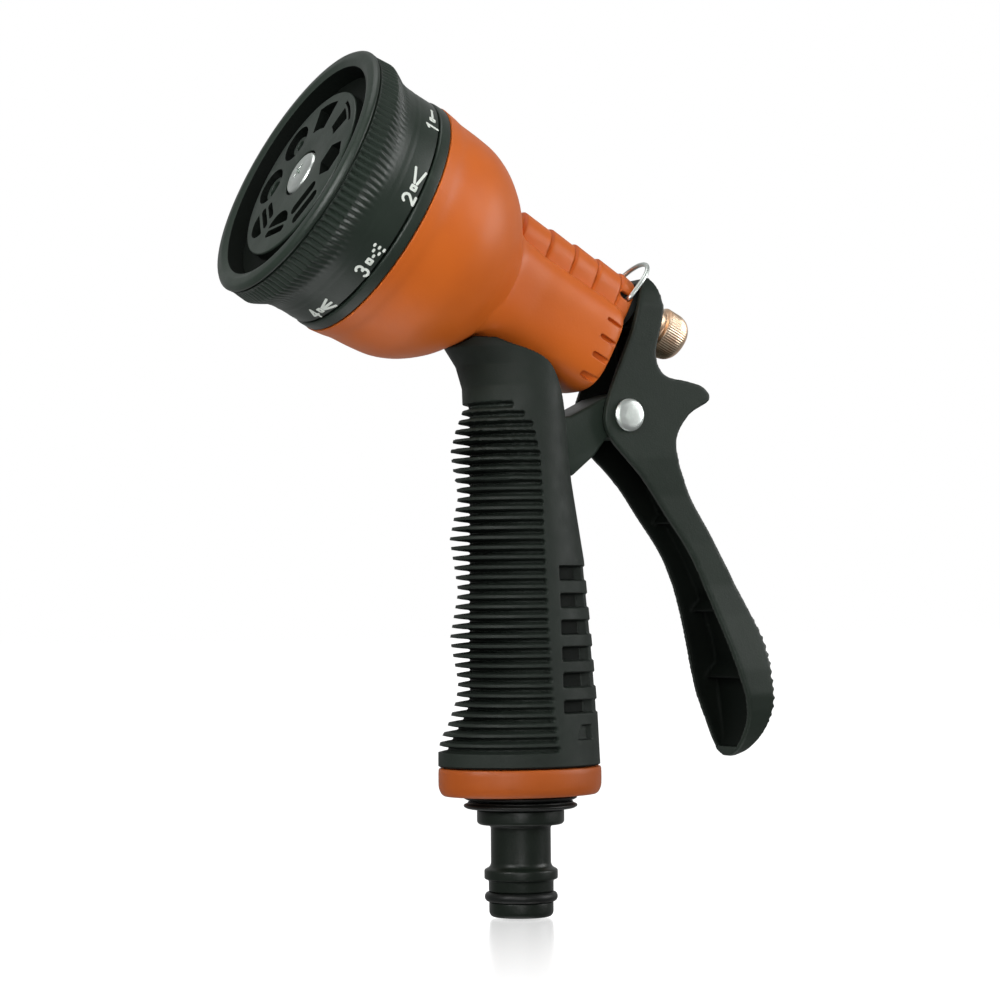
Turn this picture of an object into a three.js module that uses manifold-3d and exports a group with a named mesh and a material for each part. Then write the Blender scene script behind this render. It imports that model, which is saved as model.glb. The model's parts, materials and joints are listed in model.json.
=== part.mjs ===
// Garden hose spray nozzle: a pistol-shaped hand nozzle with an eight-pattern dial.
// Millimetres, +Z up. The origin is the middle of the mouth of the hose nipple, at the very
// bottom; +Z runs up the handle, the spray leaves towards -X and up, the trigger is at +X,
// and Y = 0 is the mirror plane. Every physical piece is one closed solid in a named mesh.
import * as THREE from 'three';
import { mergeVertices } from 'three/addons/utils/BufferGeometryUtils.js';
import Module from 'manifold-3d';

const wasm = await Module();
wasm.setup();

// ---- driving dimensions ----

const GAP = 0.3; // clearance between neighbouring pieces
const ROUND = 32; // segments of large turned pieces
const FINE = 16; // segments of small turned pieces

// The head has its own axes: station s runs backwards along the dial axis from the front
// rim, and height n is measured up from that axis.
const HEAD = { x: -56.3, z: 170.2, tilt: THREE.MathUtils.degToRad(27.28) };
const STEM_N = 13.6; // height of the valve stem axis above the dial axis

const DIAL = { rim: 31, label: 28.7, recess: 26.8, skirt: 27.3, length: 19.4, knurlEnd: 7 };
const FACE = { front: 2, step: 4.7, back: 7.4, plateau: 21.2, radius: 26.4 };
const PATTERN = { count: 8, radius: 14.8, hole: 4.3, start: THREE.MathUtils.degToRad(6) };
const PORT_RADIUS = 3.2; // bore of the one water way from valve to dial

const BELL = { front: 22.8, back: 55, wall: 2.2 };
const BARREL = { front: 47, back: 87, size: 11.7, power: 3.2 };
const TUBE = { radius: 6.5, bore: 4.8, front: 46, neck: 82.4, neckRadius: 5.7, back: 86.6 };

const GRIP = { bottom: 34.7, top: 142, slotHalf: 6.2 };
const FRAME = { radius: 9.2, bottom: 28.8, top: 117.6, spigot: 7.5, spigotX: 2, spigotTop: 139.5 };
const BRACKET_HALF = 5.8;
const PIVOT = { x: 25.1, z: 115.9, shaft: 2.5, head: 3.8 };
const LEVER = { half: 8.25, wall: 1.95 };

// ---- geometry helpers ----

// Merges a geometry's vertices, drops slivers and turns its faces outwards.
function clean(geometry) {
  const bare = geometry.clone();
  for (const name of Object.keys(bare.attributes)) {
    if (name !== 'position') bare.deleteAttribute(name);
  }
  const merged = mergeVertices(bare, 1e-3);
  const position = merged.attributes.position;
  const corners = [new THREE.Vector3(), new THREE.Vector3(), new THREE.Vector3()];
  const kept = [];
  let volume = 0;
  for (let i = 0; i < merged.index.count; i += 3) {
    const face = [0, 1, 2].map((k) => merged.index.getX(i + k));
    if (new Set(face).size < 3) continue;
    kept.push(face);
    face.forEach((v, k) => corners[k].fromBufferAttribute(position, v));
    volume += corners[0].dot(corners[1].clone().cross(corners[2]));
  }
  if (volume < 0) kept.forEach((face) => face.reverse());
  merged.setIndex(kept.flat());
  return merged;
}

function toManifold(geometry) {
  const { attributes, index } = clean(geometry);
  return new wasm.Manifold(new wasm.Mesh({
    numProp: 3,
    vertProperties: new Float32Array(attributes.position.array),
    triVerts: new Uint32Array(index.array),
  }));
}

function toGeometry(manifold) {
  const { vertProperties, triVerts } = manifold.getMesh();
  const geometry = new THREE.BufferGeometry();
  geometry.setAttribute('position', new THREE.BufferAttribute(new Float32Array(vertProperties), 3));
  geometry.setIndex(new THREE.BufferAttribute(new Uint32Array(triVerts), 1));
  return clean(geometry);
}

const join = (...parts) => toGeometry(parts.map(toManifold).reduce((a, b) => a.add(b)));
const common = (...parts) => toGeometry(parts.map(toManifold).reduce((a, b) => a.intersect(b)));
const cut = (body, ...tools) => (
  toGeometry(tools.map(toManifold).reduce((a, b) => a.subtract(b), toManifold(body)))
);

// Turns a profile of [radius, height] pairs about Z. A profile off the axis closes on itself.
function turned(profile, segments = ROUND) {
  const points = profile.map(([radius, height]) => new THREE.Vector2(radius, height));
  if (profile[0][0] > 0) points.push(points[0].clone());
  return clean(new THREE.LatheGeometry(points, segments).rotateX(Math.PI / 2));
}

// The same about the station axis of the head, at height n.
function turnedAlong(profile, n = 0, segments = ROUND) {
  return turned(profile, segments).rotateY(Math.PI / 2).translate(0, 0, n);
}

const rod = (radius, from, to, segments = FINE) =>
  turned([[0, from], [radius, from], [radius, to], [0, to]], segments);
const rodAlong = (radius, from, to, n = 0, segments = FINE) =>
  rod(radius, from, to, segments).rotateY(Math.PI / 2).translate(0, 0, n);
const rodAcross = (radius, half, x, z, segments = FINE) =>
  rod(radius, -half, half, segments).rotateX(Math.PI / 2).translate(x, 0, z);
const ring = (outer, inner, from, to) => [[inner, from], [outer, from], [outer, to], [inner, to]];

// A round-sectioned ring profile: the seals.
function torusProfile(middle, thickness, height, steps = 8) {
  return Array.from({ length: steps }, (_, i) => {
    const angle = (i / steps) * 2 * Math.PI;
    return [middle + thickness * Math.cos(angle), height + thickness * Math.sin(angle)];
  });
}

function block(x0, x1, halfY, z0, z1) {
  return new THREE.BoxGeometry(x1 - x0, 2 * halfY, z1 - z0).translate((x0 + x1) / 2, 0, (z0 + z1) / 2);
}

// A plate with a side outline of [x, z] points, from y = -half to y = half.
function plate(outline, half) {
  const shape = new THREE.Shape(outline.map(([x, z]) => new THREE.Vector2(x, z)));
  return clean(new THREE.ExtrudeGeometry(shape, { depth: 2 * half, bevelEnabled: false, steps: 1 })
    .rotateX(Math.PI / 2).translate(0, half, 0));
}

// A prism with a front outline of [y, z] points, from x0 to x1.
function prismAlongX(outline, x0, x1) {
  const shape = new THREE.Shape(outline.map(([y, z]) => new THREE.Vector2(y, z)));
  return clean(new THREE.ExtrudeGeometry(shape, { depth: x1 - x0, bevelEnabled: false, steps: 1 })
    .rotateY(Math.PI / 2).rotateX(Math.PI / 2).translate(x0, 0, 0));
}

function smooth(points, count) {
  const curve = new THREE.SplineCurve(points.map(([a, b]) => new THREE.Vector2(a, b)));
  return curve.getPoints(count).map((p) => [p.x, p.y]);
}

// Reads a value off a list of [position, value] pairs, in straight stretches.
function along(table, position) {
  const next = table.findIndex(([p]) => p >= position);
  if (next < 0) return table.at(-1)[1];
  if (next === 0) return table[0][1];
  const [[p0, v0], [p1, v1]] = [table[next - 1], table[next]];
  return THREE.MathUtils.lerp(v0, v1, (position - p0) / (p1 - p0));
}

// A solid through cross-sections: section(t, angle) gives the [x, y, z] of a point on the
// skin, and middle(t) gives the middle of a cross-section, for t from 0 to 1.
function loft(section, middle, rows, segments) {
  const geometry = new THREE.CylinderGeometry(1, 1, 1, segments, rows);
  const position = geometry.attributes.position;
  for (let i = 0; i < position.count; i += 1) {
    const t = position.getY(i) + 0.5;
    const angle = Math.atan2(position.getZ(i), position.getX(i));
    const onSkin = Math.hypot(position.getX(i), position.getZ(i)) > 0.5;
    position.setXYZ(i, ...(onSkin ? section(t, angle) : middle(t)));
  }
  return clean(geometry);
}

const superRadius = (angle, power) =>
  (Math.abs(Math.cos(angle)) ** power + Math.abs(Math.sin(angle)) ** power) ** (-1 / power);

// ---- the group ----

const PLASTIC = { roughness: 0.55, metalness: 0 };
const FINISH = {
  greenPlastic: { color: 0x2d3730, ...PLASTIC },
  orangePlastic: { color: 0xcd6428, ...PLASTIC },
  innerPlastic: { color: 0x3a3f3c, ...PLASTIC },
  rubber: { color: 0x161a18, roughness: 0.8, metalness: 0 },
  gripRubber: { color: 0x262d29, roughness: 0.75, metalness: 0 },
  steel: { color: 0xc8ccca, roughness: 0.3, metalness: 1 },
  copper: { color: 0xd9a27c, roughness: 0.3, metalness: 1 },
  brass: { color: 0xc9a85c, roughness: 0.35, metalness: 1 },
};

const nozzle = new THREE.Group();
const head = new THREE.Group();
head.position.set(HEAD.x, 0, HEAD.z);
head.rotation.y = HEAD.tilt;
nozzle.add(head);

function add(parent, name, geometry, finish) {
  const mesh = new THREE.Mesh(clean(geometry), new THREE.MeshStandardMaterial(FINISH[finish]));
  mesh.name = name;
  parent.add(mesh);
}

// ---- dial: selector ring, spray face and what turns with them ----

add(head, 'dial_ring', turnedAlong([
  [DIAL.recess, 0.5], [DIAL.recess + 1.6, 0], [DIAL.rim - 0.8, 0.3], [DIAL.rim, 1.4],
  [DIAL.rim, DIAL.knurlEnd], [DIAL.label + 0.5, DIAL.knurlEnd + 3], [DIAL.label, 14],
  [DIAL.label, DIAL.length],
  [DIAL.skirt, DIAL.length], [DIAL.skirt, 11], [DIAL.recess, 10.4],
]), 'greenPlastic');

// Middle of the opening for pattern i; pattern 0 is near the top and they run towards +Y.
function patternPlace(i) {
  const angle = Math.PI / 2 - PATTERN.start - (i / PATTERN.count) * 2 * Math.PI;
  return { y: PATTERN.radius * Math.cos(angle), n: PATTERN.radius * Math.sin(angle), angle };
}

const INSERT_AT = [1, 2]; // the two patterns with a small nozzle in a round hole

function faceOpening(i) {
  const { y, n } = patternPlace(i);
  const sides = i === 6 ? 6 : 10;
  return rodAlong(PATTERN.hole, 0, 10, 0, INSERT_AT.includes(i) ? FINE : sides).translate(0, y, n);
}

add(head, 'spray_face', cut(
  turnedAlong([
    [2.6, 4.4], [5.7, 4.4], [5.7, FACE.front], [FACE.plateau, FACE.front], [FACE.plateau, FACE.step],
    [FACE.radius, FACE.step], [FACE.radius, FACE.back], [2.6, FACE.back],
  ]),
  ...Array.from({ length: PATTERN.count }, (_, i) => faceOpening(i)),
), 'greenPlastic');

for (const [name, i, bore] of [['jet_insert', 1, 1.2], ['cone_insert', 2, 1.8]]) {
  const { y, n } = patternPlace(i);
  const outer = PATTERN.hole - GAP;
  add(head, name, turnedAlong([
    [bore, 2.6], [outer - 1.1, 2.6], [outer, 4.4], [outer, FACE.back], [bore, FACE.back],
  ], 0, 16).translate(0, y, n), 'greenPlastic');
}

const diffuserHoles = Array.from({ length: PATTERN.count }, (_, i) => {
  const { y, n } = patternPlace(i);
  return rodAlong(1.1, 7, 12, 0, 6).translate(0, y, n);
});
add(head, 'diffuser_plate', cut(
  turnedAlong(ring(FACE.radius, 2.6, FACE.back + GAP, 10), 0, ROUND),
  ...diffuserHoles,
), 'innerPlastic');

// The dial screw stays still: it is threaded into the distributor plate.
add(head, 'centre_screw', turnedAlong([
  [0, 1.7], [4.6, 1.8], [5.3, 2.4], [5.3, 4.1], [2.2, 4.1], [2.2, 19], [0, 19],
], 0, FINE), 'steel');

// ---- distributor plate with the single water port, its seal and the click stop ----

const PLATE = { front: 14, back: 22.3, radius: 26.6 };
const SEAL = { front: 10.4, back: 13.2, outer: 5, pocket: 5.4 };
const DETENT = { y: 0, n: -18, ball: 1.9, pocket: 2.3 };

add(head, 'distributor_plate', cut(
  turnedAlong([
    [0, 13.4], [4.4, 13.4], [4.4, PLATE.front], [PLATE.radius, PLATE.front],
    [PLATE.radius, PLATE.back], [0, PLATE.back],
  ]),
  rodAlong(2.2 + GAP, 13, 19.4),
  rodAlong(SEAL.pocket, 13, 18.6, STEM_N),
  rodAlong(PORT_RADIUS, 13, 23, STEM_N),
  rodAlong(DETENT.pocket, 13, 19.4, DETENT.n, 16),
), 'innerPlastic');

add(head, 'port_seal', turnedAlong(
  ring(SEAL.outer, PORT_RADIUS, SEAL.front, SEAL.back + 1), STEM_N, FINE,
), 'rubber');

// A wire coil about an axis parallel to the head's, from station a to b.
function coil({ from, to, radius, wire, turns, sides = 5, steps = 9 }) {
  const flat = 0.75; // closed turns at each end
  class Helix extends THREE.Curve {
    getPoint(t, target = new THREE.Vector3()) {
      const turn = t * turns;
      const rise = THREE.MathUtils.clamp((turn - flat) / (turns - 2 * flat), 0, 1);
      const pitchAtEnd = 2 * wire + 0.15;
      const low = from + wire + Math.min(turn, flat) * pitchAtEnd;
      const high = to - wire - Math.min(turns - turn, flat) * pitchAtEnd;
      const start = from + wire + flat * pitchAtEnd;
      const end = to - wire - flat * pitchAtEnd;
      let x = THREE.MathUtils.lerp(start, end, rise);
      if (turn < flat) x = low;
      if (turn > turns - flat) x = high;
      return target.set(x, radius * Math.cos(2 * Math.PI * turn), radius * Math.sin(2 * Math.PI * turn));
    }
  }
  const section = new THREE.Shape(Array.from({ length: sides }, (_, i) => {
    const angle = (i / sides) * 2 * Math.PI;
    return new THREE.Vector2(wire * Math.cos(angle), wire * Math.sin(angle));
  }));
  return clean(new THREE.ExtrudeGeometry(section, {
    steps: Math.round(turns * steps), extrudePath: new Helix(), bevelEnabled: false,
  }));
}

add(head, 'port_spring', coil({
  from: 14.6, to: 18.3, radius: 4.3, wire: 0.35, turns: 2.5,
}).translate(0, 0, STEM_N), 'steel');

add(head, 'detent_ball', new THREE.SphereGeometry(DETENT.ball, 12, 8).translate(12.4, 0, DETENT.n), 'steel');
add(head, 'detent_spring', coil({
  from: 14.7, to: 19.1, radius: 1.5, wire: 0.3, turns: 3.5, steps: 6,
}).translate(0, 0, DETENT.n), 'steel');

add(head, 'bell_ring', turnedAlong(ring(29, 27.2, DIAL.length + 0.4, BELL.front - GAP)), 'greenPlastic');

// ---- body shell: bell, barrel and valve tube in one moulding ----

const BELL_OUTLINE = [
  [BELL.front, 29.1], [28, 28.3], [33, 28], [38, 27.3], [43, 25.2], [48, 21.6], [52, 17.2], [BELL.back, 13.6],
];
const BARREL_SIZE = [[0, 1.5], [0.1, 1.28], [0.2, 1.12], [0.4, 1.04], [1, 1]];

// The outside of the shell, swollen by a clearance where something must fit round it.
function shellOutside(clearance = 0) {
  const bell = turnedAlong([
    [0, BELL.front], ...BELL_OUTLINE.map(([s, r]) => [r + clearance, s]), [0, BELL.back + clearance],
  ]);
  const station = (t) => THREE.MathUtils.lerp(BARREL.front, BARREL.back + clearance, t);
  const barrel = loft((t, angle) => {
    const size = (BARREL.size * along(BARREL_SIZE, t) + clearance) * superRadius(angle, BARREL.power);
    return [station(t), size * Math.cos(angle), size * Math.sin(angle)];
  }, (t) => [station(t), 0, 0], 8, 28);
  const tube = turnedAlong([
    [0, TUBE.front], [TUBE.radius + clearance, TUBE.front], [TUBE.radius + clearance, TUBE.neck],
    [TUBE.neckRadius + clearance, TUBE.neck + 0.6], [TUBE.neckRadius + clearance, TUBE.back], [0, TUBE.back],
  ], STEM_N, 20);
  const web = block(BARREL.front, TUBE.back, 4.6, 6, STEM_N);
  return join(bell, barrel, tube, web);
}

const bellInside = turnedAlong([
  [0, BELL.front - 1], [BELL_OUTLINE[0][1] - BELL.wall - 0.3, BELL.front - 1],
  ...BELL_OUTLINE.slice(0, 6).map(([s, r]) => [r - BELL.wall, s]), [14, 49], [0, 49],
]);
const rearRecess = loft((t, angle) => {
  const size = 9.4 * superRadius(angle, BARREL.power);
  return [80.5 + 8 * t, size * Math.cos(angle), -1.6 + 0.92 * size * Math.sin(angle)];
}, (t) => [80.5 + 8 * t, 0, -1.6], 1, 20);
const tubeBore = rodAlong(TUBE.bore, TUBE.front - 1, TUBE.back + 1, STEM_N);

// Puts a piece made in handle axes into the head's axes, and the other way round.
const handleToHead = new THREE.Matrix4()
  .compose(head.position, new THREE.Quaternion().setFromEuler(head.rotation), new THREE.Vector3(1, 1, 1))
  .invert();
const inHead = (geometry) => geometry.clone().applyMatrix4(handleToHead);
const inHandle = (geometry) => geometry.clone().applyMatrix4(handleToHead.clone().invert());

const SOCKET_TOP = FRAME.spigotTop + GAP;
const socket = rod(FRAME.spigot + GAP, 110, SOCKET_TOP, 32).translate(FRAME.spigotX, 0, 0);
const riser = rod(PORT_RADIUS, 130, 153, 16).translate(FRAME.spigotX, 0, 0);

add(head, 'body_shell', cut(shellOutside(), bellInside, rearRecess, tubeBore, inHead(socket), inHead(riser)),
  'orangePlastic');

// ---- valve: feed tube, seat, washer, stem, spring, seal and gland ----

add(head, 'feed_tube', turnedAlong(
  ring(4.4, PORT_RADIUS, PLATE.back + GAP, 49.8), STEM_N, FINE,
), 'innerPlastic');
add(head, 'valve_seat', turnedAlong([
  [PORT_RADIUS, 50.1], [4.5, 50.1], [4.5, 52.4], [PORT_RADIUS + 0.6, 53], [PORT_RADIUS, 53],
], STEM_N, FINE), 'brass');
add(head, 'valve_washer', turnedAlong(ring(4.3, 1.9, 53.3, 55.3), STEM_N, FINE), 'rubber');

const STEM_ROD = 2.2;
add(head, 'valve_stem', turnedAlong([
  [0, 52.9], [1.6, 52.9], [1.6, 55.6], [4, 55.6], [4, 57.1], [STEM_ROD, 57.1], [STEM_ROD, 104.6],
  [STEM_ROD - 0.5, 105.2], [0, 105.2],
], STEM_N, FINE), 'brass');
add(head, 'return_spring', coil({ from: 57.4, to: 81.6, radius: 3.4, wire: 0.45, turns: 7 })
  .translate(0, 0, STEM_N), 'steel');
add(head, 'stem_o_ring', turnedAlong(torusProfile(3.55, 1, 82.9, 6), STEM_N, FINE), 'rubber');
add(head, 'gland_nut', turnedAlong([
  [STEM_ROD + GAP, 84.2], [4.5, 84.2], [4.5, BARREL.back + GAP], [5.4, BARREL.back + GAP], [5.4, 89.2],
  [STEM_ROD + GAP, 89.2],
], STEM_N, FINE), 'brass');

const NUT = { front: 95.6, back: 105.4, bore: 2.55 };
add(head, 'adjusting_nut', turnedAlong([
  [NUT.bore, NUT.front], [5.1, NUT.front], [5.5, NUT.front + 0.3], [5.5, 96.6], [4.7, 96.8], [4.7, 98.3],
  [5.8, 98.7], [5.8, 102.4], [5.3, 104], [4.4, 105.1], [3.6, NUT.back], [NUT.bore, NUT.back],
], STEM_N, FINE), 'copper');

// ---- lock bail: a wire loop pivoted in the two sides of the tube's rear end ----

const BAIL = { s: 86, n: 14.3, half: 6.55, wire: 0.55, straight: 4.9, lean: THREE.MathUtils.degToRad(12.2) };

function bailGeometry() {
  const { half, straight, wire } = BAIL;
  const path = new THREE.CurvePath();
  const at = (y, up) => new THREE.Vector3(0, y, up);
  path.add(new THREE.LineCurve3(at(-half, 0), at(-half, straight)));
  class Bow extends THREE.Curve {
    getPoint(t, target = new THREE.Vector3()) {
      const angle = Math.PI * (1 - t);
      return target.set(0, half * Math.cos(angle), straight + half * Math.sin(angle));
    }
  }
  path.add(new Bow());
  path.add(new THREE.LineCurve3(at(half, straight), at(half, 0)));
  const section = new THREE.Shape(Array.from({ length: 6 }, (_, i) => {
    const angle = (i / 6) * 2 * Math.PI;
    return new THREE.Vector2(wire * Math.cos(angle), wire * Math.sin(angle));
  }));
  const loop = new THREE.ExtrudeGeometry(section, { steps: 20, extrudePath: path, bevelEnabled: false });
  const eye = (side) => rod(wire, 0, 1.1, 8).rotateX(side * Math.PI / 2).translate(0, side * (half + 0.2), 0);
  return join(loop, eye(1), eye(-1)).rotateY(BAIL.lean).translate(BAIL.s, 0, BAIL.n);
}
add(head, 'lock_bail', bailGeometry(), 'steel');

// ---- handle frame: water tube, spigot and trigger bracket ----

const bracket = plate([
  [6, 103], [11.4, 101.5], [17.5, 106.5], [20.8, 110.6],
  ...Array.from({ length: 9 }, (_, i) => {
    const angle = -Math.PI * 0.62 + (i / 8) * Math.PI * 1.28;
    return [PIVOT.x + 5.5 * Math.cos(angle), PIVOT.z + 5.5 * Math.sin(angle)];
  }),
  [20, 120], [11, 115.5], [6, 115.5],
], BRACKET_HALF);
const GROOVE = { z: 132.5, depth: 1.5, half: 1.1 };
const frameCore = turned([
  [0, FRAME.bottom], [FRAME.radius, FRAME.bottom], [FRAME.radius, FRAME.top], [0, FRAME.top],
], 32);
const spigot = turned([
  [0, 112], [FRAME.spigot, 112], [FRAME.spigot, GROOVE.z - GROOVE.half],
  [FRAME.spigot - GROOVE.depth, GROOVE.z - GROOVE.half],
  [FRAME.spigot - GROOVE.depth, GROOVE.z + GROOVE.half],
  [FRAME.spigot, GROOVE.z + GROOVE.half], [FRAME.spigot, FRAME.spigotTop], [0, FRAME.spigotTop],
], 24).translate(FRAME.spigotX, 0, 0);

const SHANK = { radius: 7, top: 46 };
add(nozzle, 'handle_frame', cut(
  join(frameCore, spigot, bracket),
  rod(SHANK.radius + GAP, 20, SHANK.top + 2.2, 32),
  rod(4.2, 40, 108),
  rod(PORT_RADIUS, 104, 145, 16).translate(FRAME.spigotX, 0, 0),
  rodAcross(PIVOT.shaft + GAP, 10, PIVOT.x, PIVOT.z),
), 'greenPlastic');
add(nozzle, 'spigot_o_ring', turned(torusProfile(FRAME.spigot - 0.7, 0.65, GROOVE.z, 6), 24)
  .translate(FRAME.spigotX, 0, 0), 'rubber');

const acrossShaft = rodAcross(PIVOT.shaft, LEVER.half + 0.9, PIVOT.x, PIVOT.z);
const rivetHead = (side) => rod(PIVOT.head, 0, 1, FINE).rotateX(side * Math.PI / 2)
  .translate(PIVOT.x, -side * (LEVER.half + GAP), PIVOT.z);
add(nozzle, 'pivot_rivet', join(acrossShaft, rivetHead(1), rivetHead(-1)), 'steel');

// ---- grip sleeve: oval rubber sleeve with finger waves, saddled under the head ----

const GRIP_FRONT = [
  [34.7, 19.6], [38, 19.6], [44, 16.4], [50, 14.4], [54, 13.8], [59, 15], [64, 16.2], [70, 14.9], [75, 13.8],
  [81, 15], [87, 16.2], [92, 15], [97, 13.8], [102, 15], [107, 16], [112, 14.6], [117, 12.4], [122, 12.6],
  [127, 14.4], [131, 17.5], [135, 17.5], [142, 17.5],
];
const GRIP_BACK = [
  [34.7, 19.3], [49, 18.6], [63, 17.4], [82, 15.4], [91.5, 13.6], [103, 11.4], [117, 10.2], [142, 10.2],
];
const GRIP_HALF = [[34.7, 16], [60, 15.4], [90, 14.4], [117, 13.5], [142, 13.5]];

const gripHeight = (t) => THREE.MathUtils.lerp(GRIP.bottom, GRIP.top, t);
const gripSkin = loft((t, angle) => {
  const z = gripHeight(t);
  const depth = along(Math.cos(angle) > 0 ? GRIP_BACK : GRIP_FRONT, z);
  return [depth * Math.cos(angle), along(GRIP_HALF, z) * Math.sin(angle), z];
}, (t) => [0, 0, gripHeight(t)], 22, 20);

// The sleeve stops a little below the barrel's belly: this wedge takes off what is above.
const SADDLE_N = -10.6;
const aboveSaddle = inHandle(block(20, 120, 30, SADDLE_N, 60));
add(nozzle, 'grip_sleeve', cut(
  gripSkin,
  inHandle(shellOutside(GAP)),
  aboveSaddle,
  rod(FRAME.radius + GAP, 20, FRAME.top + GAP, 32),
  rod(FRAME.spigot + GAP, 110, 150, 32).translate(FRAME.spigotX, 0, 0),
  block(4, 30, GRIP.slotHalf, 98.5, 150),
), 'gripRubber');

// ---- base: orange band, black rings, nipple ----

const BAND = { bottom: 28.3, top: 34.4, depth: 19.6, half: 16 };
const band = loft((t, angle) => {
  const z = THREE.MathUtils.lerp(BAND.bottom, BAND.top, t);
  const inset = t < 0.3 ? 1.1 : 0;
  return [(BAND.depth - inset) * Math.cos(angle), (BAND.half - inset) * Math.sin(angle), z];
}, (t) => [0, 0, THREE.MathUtils.lerp(BAND.bottom, BAND.top, t)], 4, 28);
add(nozzle, 'base_collar', cut(band, rod(FRAME.radius + GAP, 20, 40, 32)), 'orangePlastic');

add(nozzle, 'collar_washer', turned([
  [SHANK.radius + GAP, 26.8], [12.3, 26.8], [13.1, 27.2], [13.1, 27.7], [12.6, 28], [SHANK.radius + GAP, 28],
], 24), 'rubber');
add(nozzle, 'collar_seal', turned([
  [SHANK.radius + GAP, 24.9], [12.5, 24.9], [13.1, 25.3], [13.1, 25.8], [12.2, 26.2], [12.2, 26.5],
  [SHANK.radius + GAP, 26.5],
], 24), 'rubber');

const NIPPLE_GROOVE = { z: 4.6, radius: 6.5, half: 1.25 };
add(nozzle, 'hose_nipple', turned([
  [4.5, 0], [6.9, 0], [7.4, 0.7], [7.4, NIPPLE_GROOVE.z - NIPPLE_GROOVE.half],
  [NIPPLE_GROOVE.radius, NIPPLE_GROOVE.z - NIPPLE_GROOVE.half],
  [NIPPLE_GROOVE.radius, NIPPLE_GROOVE.z + NIPPLE_GROOVE.half],
  [7.5, NIPPLE_GROOVE.z + NIPPLE_GROOVE.half], [7.5, 8.2], [8.5, 8.8], [8.5, 10.8], [6.95, 11.4],
  [6.95, 21.2], [9.6, 21.3], [10.1, 21.8], [10.1, 24.6], [SHANK.radius, 24.6], [SHANK.radius, SHANK.top],
  [4.5, SHANK.top],
], 24), 'greenPlastic');
add(nozzle, 'nipple_o_ring', turned(torusProfile(7.6, 0.9, NIPPLE_GROOVE.z, 6), 24), 'rubber');
add(nozzle, 'nipple_seal', turned(ring(6.9, 4.6, SHANK.top + GAP, SHANK.top + 1.9), 24), 'rubber');

// ---- trigger lever: a U-channel open to the front, with a thumb horn and a fork ----

const LEVER_BACK = [
  [33, 148.9], [34.5, 145.4], [35, 139.8], [32.9, 130.6], [35.2, 125.6], [41.5, 124.2], [45.8, 122.9],
  [47.4, 119.9], [41.5, 116], [38.1, 109], [41.7, 97.5], [47.6, 87.6], [53.4, 77], [60.2, 63], [62, 52],
  [62.2, 46], [61.2, 41], [59, 37],
];
const LEVER_FRONT = [
  [56.2, 36.2], [56.4, 40], [56, 45], [53.9, 53], [49.2, 67.6], [43.2, 82], [35.6, 92.9], [29.6, 101],
  [21, 109.9], [19, 115.5], [21.3, 123.4], [26.4, 135.4], [28.6, 142.7], [30.6, 147.4],
];
const LEVER_HOLLOW = [
  [31.9, 146.8], [32.2, 139.8], [30.5, 130.8], [33, 123.4], [38.6, 120.4], [36, 109], [39.8, 96.2],
  [45.7, 86.6], [51.4, 76], [58, 62.2], [60.1, 52], [60.3, 46], [59.2, 40.8], [57.6, 38.4], [45, 38.4],
  [40, 60], [28, 90], [14, 104], [10, 120], [20, 146.8],
];
const LEVER_WIDTH = [
  [34.7, 0.9], [35.6, 3.8], [37, 5.6], [39.7, 7.6], [43, 9.9], [46, 11.3], [50, 12.2], [56, 11.7], [62, 10.6],
  [69, 9.1], [76, 8], [86, 7.6], [97, 7.6], [106, 8.25], [142, 8.25], [145.5, 7.2], [147.6, 5.9], [149.5, 4],
];

// The lever's outline seen from the front, drawn in by a wall thickness.
function leverFront(wall) {
  const side = LEVER_WIDTH.map(([z, half]) => [Math.max(half - wall, 0.5), z]);
  return [...side, ...side.toReversed().map(([y, z]) => [-y, z])];
}

const leverOutline = [...smooth(LEVER_BACK, 34), ...smooth(LEVER_FRONT, 20)];
const leverBlank = common(plate(leverOutline, 16), prismAlongX(leverFront(0), 10, 70));
const leverHollow = common(plate(LEVER_HOLLOW, 16), prismAlongX(leverFront(LEVER.wall), 5, 75));

// Crowned pads on the web push the nut; a slit between them straddles the stem.
const PAD = { s: 90.2, radius: 5, slit: 2.9 };
const padSweep = inHandle(common(
  rodAcross(PAD.radius, 6.8, PAD.s, STEM_N), block(90.6, 100, 10, STEM_N - 4.2, STEM_N + 4.2),
));
const slit = inHandle(block(84, 102, PAD.slit, STEM_N - 3.4, STEM_N + 3.9));
const nutSeat = inHandle(rodAlong(6.2, NUT.front - GAP, 112, STEM_N, FINE));
add(nozzle, 'trigger_lever', cut(
  join(cut(leverBlank, leverHollow), padSweep), slit, nutSeat,
  rodAcross(PIVOT.shaft + GAP, 12, PIVOT.x, PIVOT.z),
), 'greenPlastic');

export default nozzle;
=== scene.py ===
"""Looks of the garden hose spray nozzle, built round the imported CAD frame.

Lengths in this script are millimetres until a mesh is made; mesh data is in metres. Pieces
of the head are modelled in head axes: station s runs backwards along the dial axis from the
front rim, y is Y, and n is the height above that axis. Pieces of the handle use the frame's
own axes.
"""

import json
import math

import bmesh
import bpy
import numpy as np
from mathutils import Matrix, Vector


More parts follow.
